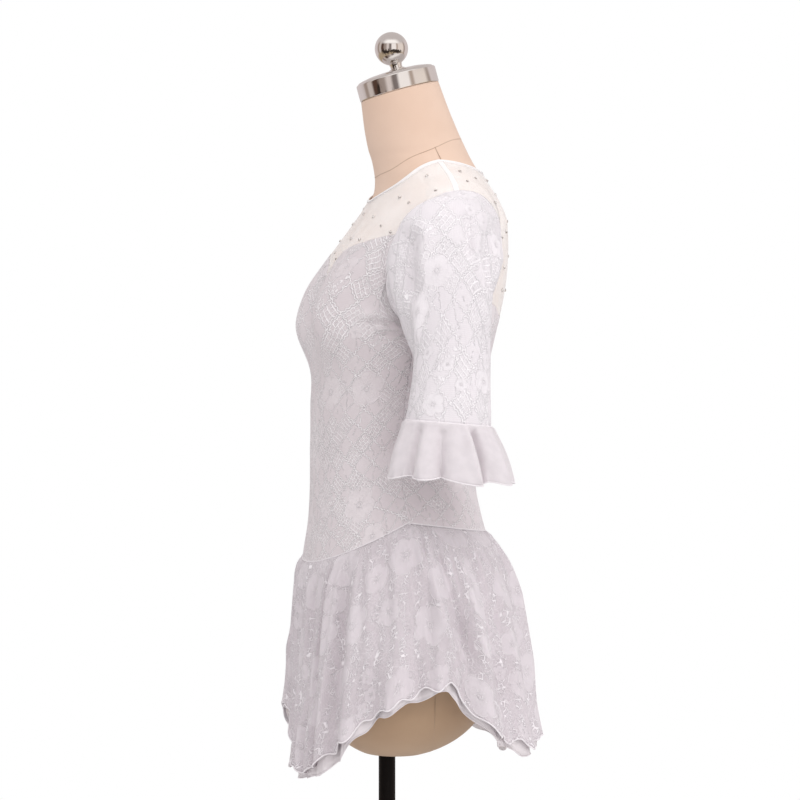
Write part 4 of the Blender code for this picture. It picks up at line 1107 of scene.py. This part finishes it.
def grow(name, points, edges, tree, facing=None, **inputs):
    """Runs a geometry tree on loose points and edges, and keeps its result as a plain mesh."""
    mesh = bpy.data.meshes.new(name + "_guide")
    mesh.from_pydata((np.asarray(points) * MM).tolist(), edges, [])
    if facing is not None:
        layer = mesh.attributes.new("facing", "FLOAT_VECTOR", "POINT")
        layer.data.foreach_set("vector", np.asarray(facing, float).ravel())
    guide = new_object(name + "_guide", mesh)
    modifier = guide.modifiers.new("grown", "NODES")
    modifier.node_group = tree
    for item in tree.interface.items_tree:
        if item.in_out == "INPUT" and item.name in inputs:
            modifier[item.identifier] = inputs[item.name]
    bpy.context.view_layer.update()
    known = bpy.context.evaluated_depsgraph_get()
    made = bpy.data.meshes.new_from_object(guide.evaluated_get(known), depsgraph=known)
    guide.modifiers.remove(modifier)
    bpy.data.objects.remove(guide)
    made.name = name
    made.shade_smooth()
    return new_object(name, made)


CORD_TREE = cord_group()
STITCH_TREE = stitch_group()
STONE_TREE = stone_group()


def chain(lines, closed=False):
    """The points and edges of several lines of points."""
    points, edges = [], []
    for line in lines:
        start = len(points)
        points += list(line)
        edges += [(start + k, start + k + 1) for k in range(len(line) - 1)]
        if closed:
            edges.append((start + len(line) - 1, start))
    return points, edges


def cord_along(name, lines, radius, finish, closed=False, sides=6):
    points, edges = chain(lines, closed)
    return grow(name, points, edges, CORD_TREE, Radius=radius * MM, Sides=sides, Material=FINISHES[finish])


def stitches_along(name, lines, spacing, length, radius, finish, closed=False):
    points, edges = chain(lines, closed)
    sizes = {"Spacing": spacing * MM, "Length": length * MM, "Radius": radius * MM}
    return grow(name, points, edges, STITCH_TREE, Material=FINISHES[finish], **sizes)


def on_cloth(grid, closed, motif, x, y):
    """Points of a cloth grid at places about a flower's centre, and which of them are on the cloth."""
    across, down = arc_lengths(grid, closed)
    rows, columns = grid.shape[:2]
    row, column, radius, turn = motif
    j, i = int(round(row)), int(column) % columns
    c, s = math.cos(turn), math.sin(turn)
    want_x = across[j, i] + (x * c + y * s) * radius
    want_y = down[j, i] + (y * c - x * s) * radius
    length = across[j, -1]
    inside = (want_y > 0) & (want_y < down[-1, i])
    if closed:
        want_x = want_x - np.floor(want_x / length) * length
    else:
        inside = inside & (want_x > 0) & (want_x < length)
    at_i = np.interp(want_x, across[j], np.arange(across.shape[1]))
    at_j = np.interp(want_y, down[:, i], np.arange(rows))
    j0 = np.minimum(at_j.astype(int), rows - 2)
    i0 = at_i.astype(int) if closed else np.minimum(at_i.astype(int), columns - 2)
    fj, fi = (at_j - j0)[:, None], (at_i - i0)[:, None]
    i0, i1 = i0 % columns, (i0 + 1) % columns
    top = grid[j0, i0] * (1 - fi) + grid[j0, i1] * fi
    low = grid[j0 + 1, i0] * (1 - fi) + grid[j0 + 1, i1] * fi
    return top * (1 - fj) + low * fj, inside


def flower_lines():
    """A flower's cords in its own coordinates: the petals' tips, the middle ring and short veins."""
    lines = []
    for k in range(PETALS):
        angle = 2 * math.pi / PETALS * (k + np.linspace(-0.26, 0.26, 9))
        reach = PETAL_NOTCH + PETAL_RISE * np.abs(np.cos(PETALS / 2 * angle)) ** PETAL_POWER
        lines.append((reach * np.cos(angle), reach * np.sin(angle)))
    angle = np.linspace(0, 2 * math.pi, 13)
    lines.append((EYE_RADIUS * np.cos(angle), EYE_RADIUS * np.sin(angle)))
    for k in range(PETALS):
        turn = 2 * math.pi * k / PETALS
        reach = np.linspace(0.18, 0.36, 3)
        lines.append((reach * math.cos(turn), reach * math.sin(turn)))
    return lines


def flower_cords(name, cloths):
    """The raised cords of all the flowers on some cloths, as one piece."""
    runs = []
    for grid, closed, motifs in cloths:
        for motif in motifs:
            for x, y in flower_lines():
                points, inside = on_cloth(grid, closed, motif, x, y)
                breaks = np.flatnonzero(np.diff(inside.astype(int))) + 1
                for run, kept in zip(np.split(points, breaks), np.split(inside, breaks)):
                    if kept[0] and len(run) > 1:
                        runs.append(run)
    return cord_along(name, runs, FLOWER_CORD, "thread", sides=3)


def keep(piece, slot, *nodes):
    """Fixes a finished piece to the body and hides the model's nodes that it stands for. Its slot is not
    used.
    """
    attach(piece, "root")
    if nodes:
        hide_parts(*nodes)
    return piece


def panel(arounds, low, high, rows, off, table=None, level=None):
    """The outer and inner grids of a panel on the body, with level rows up to a height."""
    inner = np.linspace(0, 1, rows)[1:-1]
    share = np.concatenate(([0.0, BORDER], inner, [1 - BORDER, 1.0]))[:, None]
    if level is None:
        height = low * (1 - share) + high * share
    else:
        bend = (level - low.mean()) / (high.mean() + 30.0 - low.mean())
        under = np.minimum(share / bend, 1.0)
        over = np.maximum((share - bend) / (1 - bend), 0.0)
        middle = np.minimum(high, ARMHOLE_MIDDLE)
        late = smooth_step(40.0, 60.0, np.abs(arounds))
        last = over * (1 - late) + smooth_step(0.85, 1.0, over) * late
        height = low * (1 - under) + level * under + (middle - level) * over + (high - middle) * last
    around = np.broadcast_to(arounds, height.shape)
    extra = creases(table, around, height, BODICE_ROUND) if table is not None else 0.0
    fade = smooth_step(0.0, 0.04, share) * smooth_step(1.0, 0.97, share)
    away = off + np.maximum(extra, DEEPEST_TROUGH) * fade
    return off_body(around, height, away), off_body(around, height, away - CLOTH_WALL)


def lace_edge(around, side, cloth):
    """The upper edge of the lace, or the lower edge of the mesh above it, with the armhole's edge."""
    away = np.abs(turned(around))
    if side == "front":
        height, clear = sweetheart_height(around), away < ARMHOLE_FRONT
    else:
        height, clear = back_lace_height(around), away > ARMHOLE_BACK
    if cloth == "lace":
        height = height - EDGE_GAP
        return np.where(clear, height, np.minimum(height, armhole_height(around, "lower")))
    height = height + EDGE_GAP
    return np.where(clear, height, np.maximum(height, armhole_height(around, "upper")))


def side_angles(start, end, count):
    """Evenly spaced angles with the armhole's edges among them."""
    stops = [a for a in (-ARMHOLE_FRONT, ARMHOLE_FRONT, ARMHOLE_BACK, 360 - ARMHOLE_BACK) if start < a < end]
    extra = [a + d for a in stops for d in (-0.4, 0.0, 0.4, 1.0, 2.0, 4.0, -1.0, -2.0, -4.0)]
    angles = np.unique(np.concatenate((np.linspace(start, end, count), extra)))
    return angles[(angles >= start) & (angles <= end)]


SIDES = ((1, "left"), (-1, "right"))


def make_bodice():
    cloths = []
    for side, start, end, rows, seed in (
        ("front", -SIDE_SEAM, SIDE_SEAM, 130, 11),
        ("back", SIDE_SEAM, 360 - SIDE_SEAM, 110, 12),
    ):
        arounds = side_angles(start + BODICE_APART, end - BODICE_APART, 150)
        edges = hip_seam_height(arounds), lace_edge(arounds, side, "lace")
        grid, inner = panel(arounds, *edges, rows, BODICE_OFF, BODICE_CREASES, LEVEL_ROWS)
        motifs = place_motifs(grid, False, FLOWER_SIZES["bodice"], seed)
        cloths.append((grid, False, motifs))
        piece = cloth_shell(f"lace_bodice_{side}", grid, inner, False, "bodice", motifs)
        keep(piece, "white_lace", f"bodice_{side}")
    keep(flower_cords("bodice_lace_cords", cloths), "white_lace")
    height = np.linspace(float(hip_seam_height(SIDE_SEAM)), ARMHOLE_BOTTOM - 1.0, 60)
    lines = [off_body(np.full(60, side * SIDE_SEAM), height, SIDE_SEAM_OFF) for side, _ in SIDES]
    keep(cord_along("bodice_side_seams", lines, 0.4, "thread"), "white_lace")


def make_yoke():
    for side, start, end, rows in (
        ("front", -SHOULDER_SEAM, SHOULDER_SEAM, 40),
        ("back", SHOULDER_SEAM, 360 - SHOULDER_SEAM, 50),
    ):
        arounds = side_angles(start + YOKE_APART, end - YOKE_APART, 110)
        grid, inner = panel(arounds, lace_edge(arounds, side, "mesh"), neck_height(arounds), rows, MESH_OFF)
        piece = cloth_shell(f"mesh_yoke_{side}", grid, inner, False, "mesh")
        piece.visible_shadow = False
        keep(piece, "sheer_mesh", f"yoke_{side}")


def make_neck_binding():
    around = full_turn(240, -180)
    rows = [off_body(around, neck_height(around) + lift, off) for lift, off in BINDING]
    piece = cloth_shell("neck_edge_binding", np.array(rows), CLOTH_FINE, True, "trim")
    keep(piece, "chiffon", "neck_binding")
    line = off_body(around, neck_height(around) + 0.9, 3.05)
    keep(stitches_along("neck_stitches", [line], 2.6, 1.6, 0.2, "thread", True), "chiffon")
    height = np.linspace(ARMHOLE_TOP + 2.0, NECK_SIDE + 0.5, 30)[:, None]
    turn = np.linspace(-1, 1, 9)[None, :]
    for side, word in SIDES:
        around = side * (SHOULDER_SEAM + turn * math.degrees(TAPE_HALF / SHOULDER_OUT))
        grid = off_body(around + 0 * height, height + 0 * turn, 3.4 - 0.6 * turn**4 + 0 * height)
        piece = cloth_shell(f"shoulder_strip_{word}", grid, CLOTH_THIN, False, "trim")
        piece.visible_shadow = False
        keep(piece, "chiffon", f"shoulder_tape_{word}")


def make_skirt():
    around = full_turn(SKIRT_COLUMNS, -180)
    seam = hip_seam_height(around) - 0.25
    for layer in (LACE, LINING):
        name, slot = layer["name"], layer["slot"]
        share = np.linspace(0, 1, layer["rows"])[:, None] ** 1.1
        hem = hem_height(around, layer)
        height = seam * (1 - share) + hem * share
        angle = np.broadcast_to(around, height.shape)
        grid = skirt(angle, height, layer)
        ripple = hem_ripple(angle, layer)[0] * smooth_step(HEM_RIPPLE_DROP, 0.0, height - hem)
        grid = grid + unit(grid * (1, 1, 0)) * ripple[..., None]
        motifs = place_motifs(grid, True, layer["flowers"], 21, apart=0.97)
        piece = cloth_shell(name, grid, CLOTH_THIN, True, layer["finish"], motifs)
        keep(piece, slot, layer["node"])
        keep(cord_along(f"{name}_hem", [grid[-1]], *layer["hem"], True), slot)
        if motifs:
            keep(flower_cords("skirt_lace_cords", [(grid, True, motifs)]), "white_lace")
    line = off_body(around, hip_seam_height(around) - 0.5, HIP_SEAM_OFF)
    keep(cord_along("hip_seam", [line], 0.95, "thread", True), "white_lace")


def make_sleeves():
    angle = full_turn(SLEEVE_COLUMNS)
    level = (np.linspace(0, 1, SLEEVE_ROWS) ** 0.9 * SLEEVE_END)[:, None]
    base = sleeve_cloth(*np.broadcast_arrays(angle, level))
    cloths = []
    for side, word in SIDES:
        grid = base * (side, 1.0, 1.0)
        motifs = place_motifs(grid, True, FLOWER_SIZES["sleeve"], 31 + side)
        cloths.append((grid, True, motifs))
        piece = cloth_shell(f"lace_sleeve_{word}", grid, CLOTH_THIN, True, "sleeve", motifs)
        keep(piece, "white_lace", f"sleeve_{word}")
        keep(cord_along(f"sleeve_head_seam_{word}", [grid[1]], 0.6, "thread", True), "white_lace")
    keep(flower_cords("sleeve_lace_cords", cloths), "white_lace")


def make_cuffs():
    base = ruffle(full_turn(CUFF_COLUMNS), np.linspace(0, 1, CUFF_ROWS)[:, None] ** 1.5)
    for side, word in SIDES:
        grid = base * (side, 1.0, 1.0)
        piece = cloth_shell(f"chiffon_cuff_{word}", grid, CLOTH_FINE, True, "cuff")
        keep(piece, "chiffon", f"cuff_ruffle_{word}")
        keep(cord_along(f"cuff_hem_{word}", [grid[-1]], 0.9, "thread", True), "chiffon")
        keep(cord_along(f"cuff_seam_band_{word}", [grid[0] + (0, 0, 0.8)], 1.2, "thread", True), "chiffon")


# The stones on the yoke: the angle about the body and the height of each.
STONES = np.array([
    (68, 1331), (72, 1311), (40.5, 1306), (51.5, 1298), (25, 1286), (40, 1273), (50, 1265),
    (29.5, 1258.5), (14, 1262), (-14, 1285), (-9, 1249), (4, 1240), (2, 1294), (-26, 1306), (-24, 1266),
    (-36, 1288), (-41, 1262), (-47, 1306), (-50, 1278), (-61, 1317), (-70, 1333), (-74, 1313),
    (104.5, 1337.5), (105, 1323.5), (101.5, 1308.5), (144, 1312.5), (130, 1300), (140, 1269.5),
    (133, 1262), (139.5, 1228), (142.5, 1202.5), (122, 1330), (156, 1333), (168, 1303), (157, 1284),
    (172, 1262), (158, 1244), (172, 1222), (158, 1204), (176, 1188), (-175, 1331), (-172, 1285),
    (-164, 1312), (-156, 1270), (-166, 1240), (-152, 1231), (-170, 1205), (-149, 1205), (-146, 1318),
    (-141, 1292), (-136, 1254), (-121, 1326), (-106, 1338), (-103, 1318),
], float)
SIDE_STITCHES_Y = 28.0
FORM_NECK_SEAM = np.array([
    (0, 1340), (30, 1345.5), (71, 1362), (100, 1371.5), (125, 1378), (155, 1380.5), (180, 1381),
], float)


def dome_drop(share):
    """How far down the form's rounded underside is, as a share, at a share of its widest section."""
    return np.sqrt(1 - share**2) / math.sqrt(1 - DOME_FLAT**2)


def make_form():
    around = full_turn(FORM_COLUMNS)
    rings = []
    for share in np.linspace(0.02, 1.0, FORM_ROWS["underside"], endpoint=False):
        ring = off_body(around, np.full(FORM_COLUMNS, FORM_LOWEST), -FORM_INSET)
        ring[:, :2] *= share
        ring[:, 2] = FORM_LOWEST - (FORM_LOWEST - FORM_BOTTOM) * dome_drop(max(share, DOME_FLAT))
        rings.append(ring)
    lower = np.linspace(FORM_LOWEST, FORM_FINER, FORM_ROWS["torso"], endpoint=False)
    for height in np.concatenate((lower, np.linspace(FORM_FINER, NECK_END, FORM_ROWS["neck"]))):
        inset = FORM_INSET * (1 - smooth_step(0.0, 25.0, height - neck_height(around)))
        rings.append(off_body(around, np.full(FORM_COLUMNS, height), -inset))
    rings.append(rings[-1] * 0.1 + rings[-1].mean(axis=0) * 0.9)
    rows = np.arange(len(rings) * FORM_COLUMNS).reshape(len(rings), FORM_COLUMNS)
    after = np.roll(rows, -1, axis=1)
    sides = np.stack((rows[:-1], after[:-1], after[1:], rows[1:]), -1).reshape(-1, 4)
    faces = [rows[0, ::-1].tolist(), rows[-1].tolist()] + sides.tolist()
    keep(new_piece("torso_cover", np.concatenate(rings), faces, "jersey"), "form_cover", "form_body")


def make_form_seams():
    around = np.linspace(-180, 180, 181)
    height = smooth_rows(FORM_NECK_SEAM, np.abs(around))[..., 1]
    lines = [off_body(around, np.maximum(height, neck_height(around) + 8.0), -0.1)]
    rise = np.linspace(0, 1, 14)
    high = float(smooth_rows(FORM_NECK_SEAM, 98.0)[..., 1])
    low = float(neck_height(95.0)) + 4.0
    for side, _ in SIDES:
        lines.append(off_body(side * (95.0 + 3.0 * rise), low + (high - low) * rise, 0.0))
    keep(stitches_along("form_neck_stitches", lines, 2.2, 1.7, 0.28, "seam"), "form_cover")
    keep(cord_along("form_neck_seam", lines, 0.35, "seam"), "form_cover")

    under, up = 26, 24
    share = np.linspace(0.42, 1.0, under)
    drop = np.append(dome_drop(share), np.zeros(up))
    share = np.append(share, np.ones(up))
    level = np.concatenate((np.full(under, FORM_LOWEST), np.linspace(742, 900, up)))
    back = np.where(share < 1, SIDE_STITCHES_Y + (1 - share) * 25.0, SIDE_STITCHES_Y)
    low, high = np.full(under + up, 60.0), np.full(under + up, 150.0)
    for _ in range(24):
        middle = (low + high) / 2
        short = off_body(middle, level, -FORM_INSET)[:, 1] * share < back
        low, high = np.where(short, middle, low), np.where(short, high, middle)
    lines = []
    for side, _ in SIDES:
        line = off_body(side * low, level, -FORM_INSET)
        line[:, :2] *= share[:, None]
        line[:, 2] -= (FORM_LOWEST - FORM_BOTTOM) * drop
        lines.append(line)
    keep(stitches_along("form_side_stitches", lines, 2.8, 1.9, 0.32, "seam"), "form_cover")


def make_stones():
    around, height = STONES.T
    places = off_body(around, height, MESH_OFF + 0.1)
    facing = body_normals(around, height)
    keep(grow("yoke_stones", places, [], STONE_TREE, facing, Material=FINISHES["stone"]), "crystal")


def lathe(name, profile, finish, steps=96):
    """A solid turned about Z from (radius, height) points: from axis to axis, or a loop with a bore."""
    points, faces, rings = [], [], []
    for radius, height in profile:
        start = len(points)
        if radius < 1e-6:
            points.append((0.0, 0.0, height))
            rings.append([start])
            continue
        for i in range(steps):
            angle = 2 * math.pi * i / steps
            points.append((radius * math.cos(angle), radius * math.sin(angle), height))
        rings.append(list(range(start, start + steps)))
    loop = rings if len(rings[0]) == 1 else rings + rings[:1]
    for low, high in zip(loop, loop[1:]):
        for i in range(steps):
            corners = [low[i % len(low)], low[(i + 1) % len(low)]]
            corners += [high[(i + 1) % len(high)], high[i % len(high)]]
            faces.append(tuple(dict.fromkeys(corners)))
    piece = new_piece(name, points, faces, finish)
    piece.data.set_sharp_from_angle(angle=math.radians(35))
    return piece


def tipped(piece, distance, back=0.0):
    """Moves a turned piece's points onto the tipped end of the neck."""
    widest, slope = BODY_SECTIONS[-1, 4], BODY_SECTIONS[-1, 6]
    tip = math.atan(slope)
    points = np.empty(len(piece.data.vertices) * 3)
    piece.data.vertices.foreach_get("co", points)
    points = points.reshape(-1, 3)
    y = points[:, 1] + back * MM
    z = points[:, 2] + distance * MM
    points[:, 1] = widest * MM + y * math.cos(tip) - z * math.sin(tip)
    points[:, 2] = NECK_END * MM + y * math.sin(tip) + z * math.cos(tip)
    piece.data.vertices.foreach_set("co", points.ravel())
    piece.data.update()
    return piece


def rounded(radius, height, edge, steps=5):
    """The upper corner of a turned profile, as an arc."""
    turns = np.linspace(0, math.pi / 2, steps)
    return [(radius - edge + edge * math.cos(a), height - edge + edge * math.sin(a)) for a in turns]


def make_metalwork():
    profile = [(0.0, 0.0), (CAP_RADIUS - 0.8, 0.0), (CAP_RADIUS, 0.8)]
    profile += rounded(CAP_RADIUS, CAP_HEIGHT, 2.4)
    for share in (0.93, 0.85, 0.7, 0.5, 0.25, 0.0):
        profile.append((CAP_RADIUS * share, CAP_HEIGHT + CAP_DOME * (1 - share**4)))
    keep(tipped(lathe("bright_neck_cap", profile, "chrome", 128), CAP_SEAT), "chrome", "neck_cap")
    start = math.asin(STUD_RADIUS * 0.8 / BALL_RADIUS)
    middle = STUD_HEIGHT + BALL_RADIUS * math.cos(start)
    profile = [(0.0, 0.0), (STUD_RADIUS - 0.5, 0.0), (STUD_RADIUS, 0.5), (STUD_RADIUS, 6.4)]
    profile += [(STUD_RADIUS - 0.8, 7.2), (STUD_RADIUS - 2.6, 7.8), (STUD_RADIUS - 2.6, 10.6)]
    for angle in np.linspace(start, math.pi, 40)[:-1]:
        profile.append((BALL_RADIUS * math.sin(angle), middle - BALL_RADIUS * math.cos(angle)))
    profile.append((0.0, middle + BALL_RADIUS))
    keep(tipped(lathe("bright_ball", profile, "chrome"), STUD_SEAT, BALL_OFFSET), "chrome", "finial_ball")


def make_stand():
    profile = [(0.0, 0.0), (BASE_RADIUS, 0.0)] + rounded(BASE_RADIUS, BASE_HEIGHT, 2.4) + [(0.0, BASE_HEIGHT)]
    keep(lathe("round_plate", profile, "paint", 144), "black_metal", "base_plate")
    foot, top = BASE_HEIGHT + 0.4, FORM_BOTTOM - 0.4
    profile = [(0.0, foot), (POLE_RADIUS, foot), (POLE_RADIUS, top), (0.0, top)]
    keep(lathe("black_pole", profile, "paint", 64), "black_metal", "pole")
    bore, base = POLE_RADIUS + 0.1, BASE_HEIGHT + 0.2
    corner = [(r, z + base) for r, z in rounded(COLLAR_RADIUS, COLLAR_HEIGHT - 0.4, 3.0)]
    profile = [(bore, base), (COLLAR_RADIUS, base)] + corner + [(bore, corner[-1][1])]
    keep(lathe("black_collar", profile, "paint", 96), "black_metal", "pole_collar")


# What bright metal mirrors of the room: the angle round from the camera's side, and a colour.
ROOM_STRIPES = (
    (-180, (0.66, 0.59, 0.58)), (-128, (0.7, 0.62, 0.61)), (-114, (0.62, 0.54, 0.52)),
    (-107, (0.38, 0.3, 0.26)), (-99, (0.36, 0.28, 0.24)), (-92, (0.62, 0.54, 0.5)),
    (-80, (0.6, 0.52, 0.48)), (-73, (0.1, 0.055, 0.04)), (-60, (0.09, 0.05, 0.035)),
    (-52, (0.34, 0.27, 0.235)), (-38, (0.38, 0.31, 0.275)), (-29, (0.76, 0.67, 0.63)),
    (-20, (0.74, 0.65, 0.61)), (-13, (0.22, 0.18, 0.165)), (-3, (0.24, 0.2, 0.19)),
    (4, (1.02, 0.95, 0.91)), (30, (1.02, 0.95, 0.91)), (37, (0.5, 0.4, 0.34)), (43, (0.5, 0.4, 0.34)),
    (49, (0.86, 0.76, 0.7)), (86, (0.88, 0.77, 0.69)), (98, (0.42, 0.34, 0.3)),
    (104, (0.42, 0.34, 0.3)), (112, (0.72, 0.63, 0.61)), (180, (0.66, 0.59, 0.58)),
)
# The ceiling, its bright part, the floor, and the dark things low down by the camera.
ROOM_CEILING = (0.62, 0.56, 0.54)
ROOM_WINDOW = (1.15, 1.1, 1.06)
ROOM_FLOOR = (0.44, 0.34, 0.235)
ROOM_CLUTTER = (0.04, 0.028, 0.022)
# The soft light of the room: its level, and how much more comes from the right and from above.
ROOM_LEVEL = 0.57
ROOM_RIGHT = 0.03
ROOM_ABOVE = 0.34
# Lamps: angle about the object, distance, height, size and power.
LAMPS = (
    ("key", 109.0, 1950.0, 1950.0, 2300.0, 20.5),
    ("back", 142.0, 2400.0, 1000.0, 900.0, 5.0),
    ("front", 15.0, 2200.0, 2900.0, 1400.0, 16.0),
)
LAMP_AIM = 1000.0


def light_the_room():
    """White behind the object, soft light on the cloth and stripes for the metal to mirror."""
    world = bpy.data.worlds.new("soft_room")
    bpy.context.scene.world = world
    w = Weaver(world)
    w.tree.nodes.clear()
    a = math.radians(CAMERA_AZIMUTH)
    direction = w.node("ShaderNodeTexCoord").outputs["Generated"]
    toward, right, up = [
        w.vector_math("DOT_PRODUCT", direction, way, output="Value")
        for way in ((math.sin(a), -math.cos(a), 0.0), (math.cos(a), math.sin(a), 0.0), (0.0, 0.0, 1.0))
    ]
    level = w.scaled(up, ROOM_ABOVE, w.scaled(right, ROOM_RIGHT, ROOM_LEVEL))
    soft = w.node("ShaderNodeBackground", (1.0, 0.985, 0.99, 1.0), level).outputs[0]

    turn = w.scaled(w.math("ARCTAN2", right, toward), 0.5 / math.pi, 0.5)
    stripes = w.node("ShaderNodeValToRGB", turn)
    points = stripes.color_ramp.elements
    while len(points) < len(ROOM_STRIPES):
        points.new(1.0)
    for point, (angle, colour) in zip(points, ROOM_STRIPES):
        point.position = angle / 360 + 0.5
        point.color = (*colour, 1.0)

    def span(value, start, full):
        return w.node("ShaderNodeMapRange", value, start, full, 0.0, 1.0).outputs[0]

    blots = w.math("SUBTRACT", w.noise(direction, 5.0, 3.0), 0.5)
    rough = w.scaled(blots, 0.9, up)
    seen_room = w.mix(span(up, 0.4, 0.62), stripes.outputs[0], ROOM_CEILING)
    window = w.times(span(toward, 0.2, 0.6), span(up, 0.45, 0.6), span(up, 0.93, 0.8))
    seen_room = w.mix(window, seen_room, ROOM_WINDOW)
    seen_room = w.mix(span(up, -0.22, -0.4), seen_room, ROOM_FLOOR)
    clutter = w.times(span(toward, 0.1, 0.4), span(rough, -0.16, -0.24), span(rough, -0.66, -0.5))
    seen_room = w.mix(clutter, seen_room, ROOM_CLUTTER)
    metal = w.node("ShaderNodeBackground", seen_room, 1.0).outputs[0]
    white = w.node("ShaderNodeBackground", (1.0, 1.0, 1.0, 1.0), 1.0).outputs[0]
    ray = w.node("ShaderNodeLightPath").outputs
    lit = w.node("ShaderNodeMixShader", ray["Is Glossy Ray"], soft, metal).outputs[0]
    seen = w.node("ShaderNodeMixShader", ray["Is Camera Ray"], lit, white).outputs[0]
    w.node("ShaderNodeOutputWorld", seen)


def make_room():
    floor = lathe("pale_floor", [(0.0, -0.6), (FLOOR_RADIUS, -0.6)], "floor", 96)
    floor.visible_glossy = False
    light_the_room()
    for name, azimuth, distance, height, size, power in LAMPS:
        lamp = bpy.data.lights.new(name, "AREA")
        lamp.size = size * MM
        lamp.energy = power
        placed = new_object(name, lamp)
        placed.visible_glossy = False
        a = math.radians(azimuth)
        place = np.array((math.sin(a) * distance, -math.cos(a) * distance, height))
        placed.location = place * MM
        aim = np.array((0.0, 0.0, LAMP_AIM)) - place
        flat = math.hypot(aim[0], aim[1])
        placed.rotation_euler = (math.atan2(flat, -aim[2]), 0.0, math.atan2(-aim[0], aim[1]))
    bpy.context.scene.view_settings.view_transform = "Standard"


def make_camera():
    a = math.radians(CAMERA_AZIMUTH)
    right = np.array((math.cos(a), math.sin(a), 0.0))
    ahead = np.array((-math.sin(a), math.cos(a), 0.0))
    camera = new_object("camera", bpy.data.cameras.new("camera"))
    camera.data.lens = CAMERA_LENS
    place = right * CAMERA_SIDE - ahead * CAMERA_DISTANCE + (0.0, 0.0, CAMERA_HEIGHT)
    camera.location = place * MM
    camera.rotation_euler = (math.pi / 2, 0.0, a)
    bpy.context.scene.camera = camera


def main():
    make_camera()
    make_room()
    make_form()
    make_form_seams()
    make_metalwork()
    make_stand()
    make_bodice()
    make_yoke()
    make_neck_binding()
    make_stones()
    make_skirt()
    make_sleeves()
    make_cuffs()


main()
